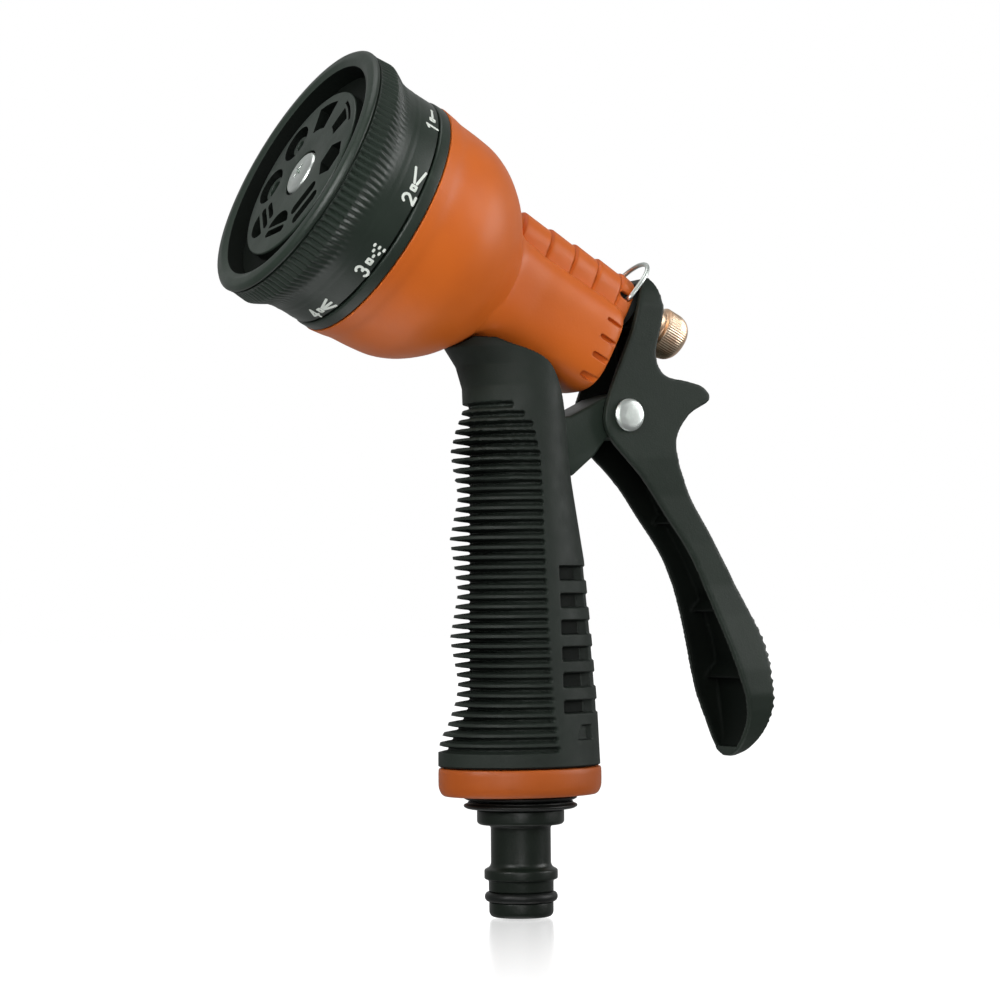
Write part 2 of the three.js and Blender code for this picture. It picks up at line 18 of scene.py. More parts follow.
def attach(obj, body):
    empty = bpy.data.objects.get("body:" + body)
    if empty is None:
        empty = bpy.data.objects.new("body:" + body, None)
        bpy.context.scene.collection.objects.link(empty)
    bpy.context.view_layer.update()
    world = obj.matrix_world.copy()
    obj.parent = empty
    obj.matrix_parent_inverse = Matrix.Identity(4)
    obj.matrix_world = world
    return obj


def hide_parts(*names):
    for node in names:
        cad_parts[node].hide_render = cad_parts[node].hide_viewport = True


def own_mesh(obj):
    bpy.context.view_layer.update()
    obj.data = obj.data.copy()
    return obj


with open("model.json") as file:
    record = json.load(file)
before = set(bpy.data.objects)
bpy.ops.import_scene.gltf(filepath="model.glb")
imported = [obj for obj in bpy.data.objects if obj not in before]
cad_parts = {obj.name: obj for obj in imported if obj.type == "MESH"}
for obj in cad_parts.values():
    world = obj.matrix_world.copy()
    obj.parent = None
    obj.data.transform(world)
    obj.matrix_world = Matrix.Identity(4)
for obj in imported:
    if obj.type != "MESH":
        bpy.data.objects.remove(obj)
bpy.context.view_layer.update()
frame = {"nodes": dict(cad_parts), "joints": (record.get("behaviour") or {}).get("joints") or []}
NODES = frame["nodes"]
MM = 0.001

# ---- axes ----

JOINTS = {joint["name"]: joint for joint in frame["joints"]}
DIAL_AT = Vector(JOINTS["dial_turn"]["pos_m"]) / MM
BACKWARDS = Vector(JOINTS["dial_turn"]["axis"]).normalized()
ACROSS = Vector((0, 1, 0))
UPWARDS = BACKWARDS.cross(ACROSS)
HEAD = Matrix.Translation(DIAL_AT) @ Matrix((BACKWARDS, ACROSS, UPWARDS)).transposed().to_4x4()
HANDLE = Matrix.Identity(4)
TO_HEAD = HEAD.inverted()

STEM_N = 13.6  # height of the valve stem's axis
PIVOT = (25.1, 115.9)  # x and z of the trigger's rivet
BAIL_AT = (86, 14.3)  # station and height that the lock bail swings about
STEM_TRAVEL = 6.4


# ---- node materials ----

def linear(rgb):
    """An sRGB colour, 0 to 255, as the linear values that nodes take."""
    def one(value):
        value /= 255
        return value / 12.92 if value <= 0.04045 else ((value + 0.055) / 1.055) ** 2.4
    return (*[one(v) for v in rgb], 1)


class Nodes:
    """A small helper that lays out a material's node tree."""

    def __init__(self, name):
        self.material = bpy.data.materials.new(name)
        self.material.use_nodes = True
        self.tree = self.material.node_tree
        self.surface = self.tree.nodes["Principled BSDF"]
        self.place = self.add("ShaderNodeTexCoord").outputs["Object"]

    def add(self, kind, inputs=(), **settings):
        node = self.tree.nodes.new(kind)
        for key, value in settings.items():
            setattr(node, key, value)
        for key, value in dict(inputs).items():
            self.give(node.inputs[key], value)
        return node

    def give(self, socket, value):
        if isinstance(value, bpy.types.NodeSocket):
            self.tree.links.new(value, socket)
        else:
            socket.default_value = value

    def noise(self, scale, detail=4.0, rough=0.55, place=None):
        return self.add("ShaderNodeTexNoise", {
            "Vector": place or self.place, "Scale": scale, "Detail": detail, "Roughness": rough,
        }).outputs["Fac"]

    def remap(self, value, low, high, to_low, to_high):
        return self.add("ShaderNodeMapRange", {
            "Value": value, "From Min": low, "From Max": high, "To Min": to_low, "To Max": to_high,
        }).outputs["Result"]

    def blend(self, factor, one, other):
        node = self.add("ShaderNodeMix", data_type="RGBA")
        self.give(node.inputs[0], factor)
        self.give(node.inputs[6], one)
        self.give(node.inputs[7], other)
        return node.outputs[2]

    def bump(self, height, distance, strength, normal=None):
        node = self.add("ShaderNodeBump", {"Height": height, "Strength": strength, "Distance": distance})
        if normal is not None:
            self.give(node.inputs["Normal"], normal)
        return node.outputs["Normal"]

    def show(self, made, shader):
        """Gives an object of the stage this material, with a shader of its own."""
        self.tree.links.new(shader.outputs[0], self.tree.nodes["Material Output"].inputs["Surface"])
        made.data.materials.append(self.material)
        for ray in ("diffuse", "glossy", "transmission", "shadow"):
            setattr(made, f"visible_{ray}", False)

    def rounding(self, radius):
        """A normal that rounds edges by a radius in millimetres."""
        return self.add("ShaderNodeBevel", {"Radius": radius * MM}, samples=4).outputs["Normal"]

    def finish(self, **inputs):
        for key, value in inputs.items():
            self.give(self.surface.inputs[key.replace("_", " ")], value)
        return self.material


def moulded(name, rgb, shade, rough, grain, edge=0.3, specular=0.5):
    """Moulded plastic: slow colour drift, rounded edges, ridges lighter partly for wear and partly as a
    painted highlight, and a fine moulded grain.
    """
    n = Nodes(name)
    drift = n.noise(38, 3)
    colour = n.blend(n.remap(drift, 0.3, 0.7, 0, 1), linear(rgb), linear(shade))
    # convex ridges are made lighter: partly wear, partly a painted highlight
    ridge = n.add("ShaderNodeNewGeometry").outputs["Pointiness"]
    wear_and_highlight = n.remap(ridge, 0.53, 0.62, 0, 0.35)
    light = tuple(min(1, 1.35 * v + 0.012) for v in linear(rgb)[:3]) + (1,)
    colour = n.blend(wear_and_highlight, colour, light)
    grainy = n.bump(n.noise(grain, 5, 0.6), 0.00006, 0.55, n.rounding(edge))
    normal = n.bump(n.noise(240, 2), 0.00025, 0.14, grainy)
    gloss = n.remap(n.noise(130, 4), 0.3, 0.7, rough - 0.05, rough + 0.06)
    return n.finish(Base_Color=colour, Roughness=gloss, Normal=normal, Specular_IOR_Level=specular)


def rubber(name, rgb, shade, rough, grain=2600):
    n = Nodes(name)
    colour = n.blend(n.remap(n.noise(60, 4), 0.3, 0.7, 0, 1), linear(rgb), linear(shade))
    normal = n.bump(n.noise(grain, 6, 0.7), 0.00008, 0.6, n.rounding(0.25))
    gloss = n.remap(n.noise(200, 4), 0.3, 0.7, rough - 0.07, rough + 0.07)
    return n.finish(Base_Color=colour, Roughness=gloss, Normal=normal, Specular_IOR_Level=0.3)


def metal(name, rgb, shade, rough):
    """Plated metal: patches in the plating and fine turning marks."""
    n = Nodes(name)
    patch = n.noise(420, 5, 0.65)
    colour = n.blend(n.remap(patch, 0.35, 0.7, 0, 1), linear(rgb), linear(shade))
    stretched = n.add("ShaderNodeMapping", {"Vector": n.place, "Scale": (1, 0.08, 1)}).outputs["Vector"]
    normal = n.bump(n.noise(900, 4, 0.6, stretched), 0.00008, 0.35, n.rounding(0.2))
    gloss = n.remap(patch, 0.3, 0.75, rough - 0.06, rough + 0.14)
    return n.finish(Base_Color=colour, Metallic=1.0, Roughness=gloss, Normal=normal)


def printed(name, rgb):
    n = Nodes(name)
    thin = n.blend(n.remap(n.noise(1500, 4), 0.62, 0.8, 0, 0.5), linear(rgb), linear((150, 160, 150)))
    return n.finish(Base_Color=thin, Roughness=0.55, Normal=n.bump(n.noise(2500, 3), 0.00004, 0.4))


GREEN = moulded("green_plastic", (37, 46, 39), (32, 40, 34), 0.46, 2200, specular=0.3)
DARK_GREEN = moulded("nipple_plastic", (23, 30, 24), (19, 25, 20), 0.36, 1500, specular=0.28)
DIAL_GREEN = moulded("dial_plastic", (41, 52, 44), (33, 43, 36), 0.40, 2200, edge=0.2, specular=0.4)
ORANGE = moulded("orange_plastic", (220, 110, 36), (210, 101, 30), 0.42, 1700, edge=0.45, specular=0.3)
# painted shade: the same orange plastic, made darker to stand for the shade the base band lies in
ORANGE_PAINTED_SHADE = moulded("orange_painted_shade", (180, 88, 30), (166, 79, 25), 0.44, 1700, edge=0.45, specular=0.3)
# dark plastic of the inner parts; it also gives the brass gland nut painted shade
INNER_AND_SHADE = moulded("inner_plastic", (38, 42, 40), (30, 34, 32), 0.5, 2400)
# painted shade: a darker copy of the green plastic, for faces down in recesses
PAINTED_SHADE = moulded("painted_shade_plastic", (15, 20, 16), (11, 15, 12), 0.65, 2200, specular=0.1)
GRIP = rubber("grip_rubber", (33, 41, 35), (28, 35, 30), 0.6)
BLACK = rubber("black_rubber", (20, 23, 21), (14, 17, 15), 0.42, 3200)
STEEL = metal("zinc_plate", (244, 250, 246), (222, 230, 224), 0.36)
COPPER = metal("copper_plate", (250, 226, 198), (228, 188, 154), 0.33)
BRASS = metal("turned_brass", (204, 176, 110), (170, 138, 80), 0.3)
PRINT = printed("white_print", (232, 238, 230))


# ---- mesh tools ----

def new_object(name, vertices, faces, axes=HANDLE):
    """A mesh object from points in millimetres, given in some axes."""
    points = np.asarray(vertices, dtype=float)
    turn = np.array(axes)
    points = (points @ turn[:3, :3].T + turn[:3, 3]) * MM
    mesh = bpy.data.meshes.new(name)
    mesh.from_pydata(points.tolist(), [], [list(face) for face in faces])
    mesh.validate()
    made = bpy.data.objects.new(name, mesh)
    bpy.context.scene.collection.objects.link(made)
    return made


def tidy_mesh(made, merge=0.002, sharp=32):
    """Merges doubled points, turns faces out, and shades smooth except over sharp edges."""
    work = bmesh.new()
    work.from_mesh(made.data)
    if merge:
        bmesh.ops.remove_doubles(work, verts=work.verts, dist=merge * MM)
    bmesh.ops.recalc_face_normals(work, faces=work.faces)
    work.to_mesh(made.data)
    work.free()
    made.data.shade_smooth()
    if sharp:
        made.data.set_sharp_from_angle(angle=math.radians(sharp))
    return made


def piece(made, material, body, *nodes, deep=None):
    """Gives a piece its material and body, and says which CAD nodes it stands for.

    deep(place), in head axes, picks the faces down in a recess, which take a darker plastic as painted shade.
    """
    made.data.materials.clear()
    made.data.materials.append(material)
    if deep:
        # painted shade on the faces that deep picks
        made.data.materials.append(PAINTED_SHADE)
        for face in made.data.polygons:
            face.material_index = int(deep(TO_HEAD @ (face.center / MM)))
    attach(made, body)
    if nodes:
        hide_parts(*nodes)
    return made


def sheet_faces(rows, columns, wrap_rows=False):
    """Quads between rows of points that each run round a closed loop."""
    faces = []
    for i in range(rows if wrap_rows else rows - 1):
        for j in range(columns):
            a, b = i * columns + j, i * columns + (j + 1) % columns
            c, d = ((i + 1) % rows) * columns + (j + 1) % columns, ((i + 1) % rows) * columns + j
            faces.append((a, b, c, d))
    return faces


def soften(profile, radius, steps=4, closed=True):
    """Rounds the corners of a profile of (radius, height) points."""
    out = []
    count = len(profile)
    for i, here in enumerate(profile):
        at_end = not closed and i in (0, count - 1)
        size = radius[i] if isinstance(radius, (list, tuple)) else radius
        if at_end or size == 0:
            out.append(tuple(here))
            continue
        p, q, r = (np.array(profile[k % count], float) for k in (i - 1, i, i + 1))
        into, out_of = p - q, r - q
        a, b = np.linalg.norm(into), np.linalg.norm(out_of)
        if a < 1e-9 or b < 1e-9:
            out.append(tuple(q))
            continue
        reach = min(size, 0.45 * a, 0.45 * b)
        start, end = q + into / a * reach, q + out_of / b * reach
        for k in range(steps + 1):
            t = k / steps
            out.append(tuple((1 - t) ** 2 * start + 2 * t * (1 - t) * q + t * t * end))
    return out


def turned(name, profile, axes=HEAD, n=0.0, y=0.0, segments=96, wave=None, sharp=32):
    """A turned solid; wave(station, radius, angle) moves the radius.

    A profile on the axis is open and its ends close to a point.
    """
    on_axis = profile[0][0] < 1e-6
    points = []
    for radius, station in profile:
        for i in range(segments):
            angle = 2 * math.pi * i / segments
            size = radius + (wave(station, radius, angle) if wave else 0)
            points.append((station, size * math.cos(angle) + y, size * math.sin(angle) + n))
    faces = sheet_faces(len(profile), segments, wrap_rows=not on_axis)
    return tidy_mesh(new_object(name, points, faces, axes), sharp=sharp)


UPRIGHT = Matrix(((0, 0, 1, 0), (0, 1, 0, 0), (1, 0, 0, 0), (0, 0, 0, 1)))  # station becomes Z


def ring(outer, inner, start, end):
    return [(inner, start), (outer, start), (outer, end), (inner, end)]


def spline(points, count):
    """Points on a Catmull-Rom curve through the given points."""
    pts = np.array(points, float)
    padded = np.vstack([2 * pts[0] - pts[1], pts, 2 * pts[-1] - pts[-2]])
    out = []
    spans = len(pts) - 1
    for k in range(count + 1):
        u = min(k / count * spans, spans - 1e-9)
        i, t = int(u), u - int(u)
        a, b, c, d = padded[i:i + 4]
        out.append(tuple(0.5 * ((2 * b) + (c - a) * t + (2 * a - 5 * b + 4 * c - d) * t * t
                                + (3 * b - a - 3 * c + d) * t ** 3)))
    return out


def along(table, position):
    """The value of a table of (position, value) pairs at a position."""
    return float(np.interp(position, [p for p, _ in table], [v for _, v in table]))


def prism(name, outline, low, high, axis="y", axes=HANDLE):
    """A straight prism of a flat outline, between two levels of an axis."""
    count = len(outline)

    def place(a, b, level):
        return (level, a, b) if axis == "x" else (a, level, b)
    points = [place(a, b, low) for a, b in outline] + [place(a, b, high) for a, b in outline]
    faces = [tuple(range(count)), tuple(range(2 * count - 1, count - 1, -1))]
    faces += [(i, (i + 1) % count, count + (i + 1) % count, count + i) for i in range(count)]
    return tidy_mesh(new_object(name, points, faces, axes), merge=0, sharp=0)


def applied(made, *modifiers):
    """Applies modifiers, given as (kind, settings), and returns the object."""
    for kind, settings in modifiers:
        modifier = made.modifiers.new(kind, kind)
        for key, value in settings.items():
            setattr(modifier, key, value)
    graph = bpy.context.evaluated_depsgraph_get()
    mesh = bpy.data.meshes.new_from_object(made.evaluated_get(graph))
    made.modifiers.clear()
    made.data = mesh
    return made


def combine(made, operation, *tools):
    """Exact booleans of a mesh with some tools, which are used up."""
    for tool in tools:
        applied(made, ("BOOLEAN", {"operation": operation, "solver": "EXACT", "object": tool}))
        bpy.data.objects.remove(tool)
    return made


def swept(name, path, radius, sides=14):
    """A round wire along a path in head axes, with domed ends."""
    points = np.array(path, float)
    count = len(points)
    rows = []
    side = None
    for i in range(count):
        ahead = points[min(i + 1, count - 1)] - points[max(i - 1, 0)]
        ahead /= np.linalg.norm(ahead)
        if side is None:
            side = np.cross(ahead, [0.3, 0.2, 0.9])
        side -= ahead * side.dot(ahead)
        side /= np.linalg.norm(side)
        other = np.cross(ahead, side)
        rows.append([points[i] + radius * (math.cos(a) * side + math.sin(a) * other)
                     for a in np.arange(sides) * 2 * math.pi / sides])
        if i in (0, count - 1):
            sign = -1 if i == 0 else 1
            for reach, size in ((0.6, 0.8), (0.95, 0.3)):
                cap = [points[i] + sign * ahead * radius * reach + (p - points[i]) * size
                       for p in rows[0 if i == 0 else -1]]
                if i:
                    rows.append(cap)
                else:
                    rows.insert(0, cap)
    flat = [tuple(p) for row in rows for p in row]
    total = len(rows)
    faces = sheet_faces(total, sides)
    faces += [tuple(range(sides)), tuple(range(total * sides - 1, (total - 1) * sides - 1, -1))]
    return tidy_mesh(new_object(name, flat, faces, HEAD), sharp=0)


# ---- dial ring: smooth rim, knurled band, smooth band for the signs ----

RIDGES = 122
LABEL_RADIUS = 28.7
KNURL = [(2.1, 30.75), (6.6, 31.15), (8.2, 30.35), (10, 29.35), (11.6, 28.95), (13.2, 28.75)]


def dial_ring():
    front = soften([(26.8, 0.75), (28.3, 0.0), (30.2, 0.2), (31.0, 1.0), (31.0, 1.65), (30.25, 1.7),
                    (30.2, 2.05), (30.9, 2.15)], 0.4, 3, closed=False)
    knurl = [(along(KNURL, s), s) for s in np.arange(2.3, 13.3, 0.4)]
    rear = soften([(28.8, 13.6), (28.75, 14.2), (28.7, 14.6), (28.7, 19.4), (27.3, 19.4), (27.3, 11.0),
                   (26.8, 10.4), (26.8, 8.4), (26.8, 0.75)], 0.35, 3, closed=False)
    profile = front + knurl + rear[:-1]

    def ridges(s, radius, angle):
        if not 2.2 < s < 13.4 or radius < 28.2:
            return 0
        depth = along([(2.2, 0.3), (3.0, 0.62), (7.2, 0.55), (8.6, 0.3), (10.2, 0.1), (11.4, 0)], s)
        wave = 0.5 - 0.5 * math.cos(RIDGES * angle)
        return -depth * wave ** 1.4
    return turned("dial_ring_knurled", profile, segments=RIDGES * 8, wave=ridges)


# painted shade: the inner wall of the recess takes the darker plastic
piece(dial_ring(), DIAL_GREEN, "dial", "dial_ring",
      deep=lambda at: at.x > 1.1 and math.hypot(at.y, at.z) < 27.5)


# Signs on the dial: a numeral and a small spray sign at each stop, drawn as thin strokes.
def arc(cx, cy, radius, start, end, steps=9, squash=1.0):
    angles = np.radians(np.linspace(start, end, steps))
    return [(cx + squash * radius * math.cos(a), cy + radius * math.sin(a)) for a in angles]


NUMERALS = {
    0: [arc(0.95, 1.65, 1.45, 0, 360, 17, 0.62)],
    1: [[(0.35, 2.55), (1.1, 3.1), (1.1, 0.2)]],
    2: [arc(0.95, 2.2, 0.9, 160, -30, 8) + [(0.15, 0.2), (1.9, 0.2)]],
    3: [arc(0.85, 2.35, 0.78, 150, -80, 8) + arc(0.85, 0.95, 0.85, 75, -150, 8)],
    4: [[(1.5, 0.2), (1.5, 3.1), (0.1, 1.1), (2.0, 1.1)]],
    5: [[(1.75, 3.1), (0.4, 3.1), (0.3, 1.85)] + arc(0.9, 1.15, 0.98, 110, -140, 9)],
    6: [arc(0.95, 1.1, 0.9, 0, 360, 13), [(0.1, 1.3), (0.55, 2.5), (1.35, 3.1)]],
    7: [[(0.15, 3.1), (1.85, 3.1), (0.8, 0.2)]],
    8: [arc(0.95, 2.4, 0.7, 0, 360, 12), arc(0.95, 0.98, 0.85, 0, 360, 13)],
}
SIGN_MIDDLE = 1.65  # half the height of a sign
NOZZLE_SIGN = [[(0, 1.1), (0, 2.2), (0.9, 2.2), (0.9, 1.1), (0, 1.1)]]


def rays(*ends):
    return [[(1.6, SIGN_MIDDLE + 0.25 * (y - SIGN_MIDDLE)), (5.0, y)] for y in ends]


def dots(*places):
    return [[(x, y), (x + 0.35, y)] for x, y in places]


SHUT_SIGN = [arc(2.6, 1.65, 1.2, 0, 360, 15), [(1.75, 0.8), (3.45, 2.5)]]
SPRAYS = [SHUT_SIGN] + [NOZZLE_SIGN + water for water in (
    rays(1.65),
    rays(0.3, 3.0),
    dots((1.8, 1.65), (2.9, 0.9), (2.9, 2.4), (4.1, 0.4), (4.1, 1.65), (4.1, 2.9)),
    rays(0.3, 1.65, 3.0),
    rays(1.1, 2.2) + [[(5.0, 1.1), (5.0, 2.2)]],
    [[(x, 0.2), (x, 3.1)] for x in (2.0, 3.3, 4.6)],
    rays(0.3, 3.0) + [arc(1.4, 1.65, 3.5, -22, 22, 6)],
    rays(0.2, 1.1, 2.2, 3.1),
)]
# (numeral, degrees round the dial)
STOPS = [(1, 46), (2, 87), (3, 125), (4, 163), (5, 203), (6, 243), (7, 283), (8, 323), (0, 5)]
SIGN_S = 17.6  # station of the middle of the signs
STROKE = 0.31  # half the width of a stroke
JOINT_LIFT = 0.004  # keeps the round joints off the strokes' own plane


def stroke_faces(points, faces, line, to_dial):
    """A ribbon with round joints along one line of a sign."""
    fine = [line[0]]
    for (x0, y0), (x1, y1) in zip(line, line[1:]):
        parts = max(1, int(math.hypot(x1 - x0, y1 - y0) / 0.5))
        fine += [(x0 + (x1 - x0) * k / parts, y0 + (y1 - y0) * k / parts) for k in range(1, parts + 1)]
    for (x0, y0), (x1, y1) in zip(fine, fine[1:]):
        size = math.hypot(x1 - x0, y1 - y0) or 1
        ox, oy = -(y1 - y0) / size * STROKE, (x1 - x0) / size * STROKE
        base = len(points)
        points += [to_dial(x0 + ox, y0 + oy), to_dial(x0 - ox, y0 - oy),
                   to_dial(x1 - ox, y1 - oy), to_dial(x1 + ox, y1 + oy)]
        faces.append((base, base + 1, base + 2, base + 3))
    for x, y in fine:
        base = len(points)
        points += [to_dial(x + STROKE * math.cos(a), y + STROKE * math.sin(a), JOINT_LIFT)
                   for a in np.arange(10) * math.pi / 5]
        faces.append(tuple(range(base, base + 10)))


def signs():
    points, faces = [], []
    for number, stop in STOPS:
        def to_dial(x, y, lift=0.0, middle=stop):
            turn = math.radians(middle) - (x - 4.2) / LABEL_RADIUS
            radius = LABEL_RADIUS + 0.03 + lift
            return (SIGN_S + SIGN_MIDDLE - y, -radius * math.sin(turn), radius * math.cos(turn))
        for line in NUMERALS[number]:
            stroke_faces(points, faces, line, to_dial)
        for line in SPRAYS[number]:
            stroke_faces(points, faces, [(x + 3.2, y) for x, y in line], to_dial)
    made = new_object("dial_signs", points, faces, HEAD)
    applied(made, ("SOLIDIFY", {"thickness": 0.04 * MM, "offset": 0}))
    return made


piece(signs(), PRINT, "dial")

# ---- spray face: plateau with the eight openings, and the two little nozzles ----

OPENING_RADIUS = 14.8
OPENING_START = math.radians(6)
NUMBER_OF_OPENINGS = 8


def opening_place(i):
    angle = OPENING_START + 2 * math.pi * i / NUMBER_OF_OPENINGS
    return OPENING_RADIUS * math.sin(angle), OPENING_RADIUS * math.cos(angle), angle


def local_outline(i, outline):
    """An outline given as (sideways, outwards) about opening i, in the face's plane."""
    y, n, angle = opening_place(i)
    side, out = (math.cos(angle), -math.sin(angle)), (math.sin(angle), math.cos(angle))
    return [(y + a * side[0] + b * out[0], n + a * side[1] + b * out[1]) for a, b in outline]


def stadium(half_length, half_width, x=0.0, y=0.0, turn=0.0, steps=7):
    points = []
    for centre, start in ((half_length - half_width, -90), (half_width - half_length, 90)):
        for k in range(steps + 1):
            a = math.radians(start + 180 * k / steps)
            points.append((centre + half_width * math.cos(a), half_width * math.sin(a)))
    c, s = math.cos(math.radians(turn)), math.sin(math.radians(turn))
    return [(x + c * a - s * b, y + s * a + c * b) for a, b in points]


def arc_band(radius, half_width, half_angle, steps=10):
    """A curved slot about the dial's centre, in (sideways, outwards) about an opening."""
    outer = [(radius + half_width, a) for a in np.linspace(-half_angle, half_angle, steps)]
    inner = [(radius - half_width, a) for a in np.linspace(half_angle, -half_angle, steps)]
    return [(r * math.sin(math.radians(a)), r * math.cos(math.radians(a)) - OPENING_RADIUS)
            for r, a in outer + inner]


def circle(radius, count=40, start=0.0):
    return [(radius * math.cos(a + start), radius * math.sin(a + start))
            for a in np.arange(count) * 2 * math.pi / count]


def half_round(radius, flat, low, high, steps=16):
    angles = np.radians(np.linspace(low, high, steps))
    return [(radius * math.cos(a), flat * math.sin(a)) for a in angles]


OPENINGS = [  # (which opening, outline cut there)
    (0, arc_band(15.0, 3.5, 13.5)),
    (1, circle(4.55)),
    (2, circle(4.55)),
    (3, half_round(4.6, 4.3, 12, 168)),
    (3, stadium(4.3, 0.8, 0, -0.9)),
    (3, stadium(3.3, 0.8, 0, -3.3)),
    (4, half_round(4.8, 4.6, -168, -12)),
    (4, stadium(4.4, 0.95, 0, 0.75)),
    (5, stadium(4.7, 1.45, 0, 2.2)),
    (5, stadium(4.7, 1.5, 0, -2.1)),
    (6, circle(4.5, 6, math.pi / 6)),
    (7, arc_band(18.9, 0.42, 14)),
    (7, arc_band(15.2, 2.6, 9)),
]


def spray_face():
    profile = soften([(2.6, 4.6), (5.75, 4.6), (5.75, 2.0), (21.0, 2.0), (21.0, 4.7), (26.45, 4.7),
                      (26.45, 7.4), (2.6, 7.4)], [0, 0, 0.3, 0.5, 0.4, 0.2, 0, 0], 3)
    face = turned("spray_face_openings", profile, segments=144)
    cutters = [prism("cutter", local_outline(i, outline), 0.5, 6.6, "x", HEAD) for i, outline in OPENINGS]
    combine(face, "DIFFERENCE", *cutters)
    return tidy_mesh(face, merge=0.001, sharp=30)


# painted shade: the groove and the walls of the openings take the darker plastic
piece(spray_face(), DIAL_GREEN, "dial", "spray_face", deep=lambda at: at.x > 2.4)

for name, i, bore, collar in (("jet_insert", 1, 1.3, 2.5), ("cone_insert", 2, 1.9, 3.0)):
    y, n, _ = opening_place(i)
    shape = soften([(bore, 3.0), (collar, 2.9), (collar + 0.1, 4.6), (4.0, 5.6), (4.0, 7.2), (bore, 7.2)],
                   0.25, 3)
    piece(turned(f"{name}_turned", shape, n=n, y=y, segments=48), DIAL_GREEN, "dial", name)


def centre_screw():
    head = turned("centre_screw_head", soften([
        (0, 1.35), (3.2, 1.45), (5.0, 1.9), (5.35, 2.6), (5.35, 4.1), (2.2, 4.1), (2.2, 19), (0, 19),
    ], [0, 1.2, 0.7, 0.3, 0.2, 0.2, 0.3, 0], 4, closed=False), segments=64)
    cross = [prism("cross", stadium(1.9, 0.36, turn=turn), 0.8, 2.9, "x", HEAD) for turn in (24, 114)]
    return tidy_mesh(combine(head, "DIFFERENCE", *cross), merge=0.001, sharp=30)


piece(centre_screw(), STEEL, "root", "centre_screw")

BELL_RING = soften(ring(29.0, 27.2, 19.85, 22.5), [0.1, 0.5, 0.25, 0.1], 4)
piece(turned("bell_ring_turned", BELL_RING, segments=160), DIAL_GREEN, "root", "bell_ring")

# ---- body shell: bell, barrel and ribbed valve tube ----

BELL = [(22.8, 29.15), (25.5, 28.8), (28, 28.35), (33, 28.0), (38, 27.25), (43, 25.15), (48, 21.5),
        (52, 17.1), (55, 13.4)]
BARREL, BARREL_POWER = 11.7, 3.2  # half width, and the exponent of its rounded square
BARREL_SIZE = [(47, 1.5), (51, 1.28), (55, 1.12), (63, 1.04), (80, 1.0), (83, 0.99), (84.6, 0.965),
               (85.5, 0.925), (86, 0.87)]
TUBE, TUBE_BORE = 6.45, 4.8
TILES = (54.4, 62.3, 69.4, 76.2, 83.2, 87.2)  # where the tiles of the tube start and end


def super_radius(angle, power):
    """The radius of a square with rounded sides, half its width being 1."""
    return (abs(math.cos(angle)) ** power + abs(math.sin(angle)) ** power) ** (-1 / power)


def lofted(name, stations, section, columns=96):
    """A closed solid in head axes; section(station, angle) gives (y, n)."""
    points, rows = [], len(stations)
    for s in stations:
        for k in range(columns):
            y, n = section(s, 2 * math.pi * k / columns)
            points.append((s, y, n))
    faces = sheet_faces(rows, columns)
    faces += [tuple(range(columns)), tuple(range(rows * columns - 1, (rows - 1) * columns - 1, -1))]
    return tidy_mesh(new_object(name, points, faces, HEAD))


def barrel_section(s, angle, swell=0.0):
    size = (BARREL * along(BARREL_SIZE, s) + swell) * super_radius(angle, BARREL_POWER)
    return size * math.cos(angle), size * math.sin(angle)


def tile_rise(s):
    """How far a tile of the valve tube stands proud: highest in front, then a narrow groove."""
    for start, end in zip(TILES, TILES[1:]):
        if start <= s <= end:
            into = (s - start) / (end - start)
            edge = min((s - start) / 0.6, (end - s) / 0.3, 1)
            return -0.6 + (1.0 - 0.6 * into) * math.sin(0.5 * math.pi * max(edge, 0)) ** 0.7
    return -0.6


def tube_section(s, angle):
    """Round above the stem's axis, and nearly straight down the sides below it."""
    radius = TUBE + tile_rise(s)
    y, n = radius * math.cos(angle), radius * math.sin(angle)
    if n < 0:
        side = TUBE + 0.7 * tile_rise(s) - 0.11 * n
        y = math.copysign(min(abs(math.cos(angle)) ** 0.35, 1) * side, math.cos(angle))
        n *= 1.35
    return y, n + STEM_N


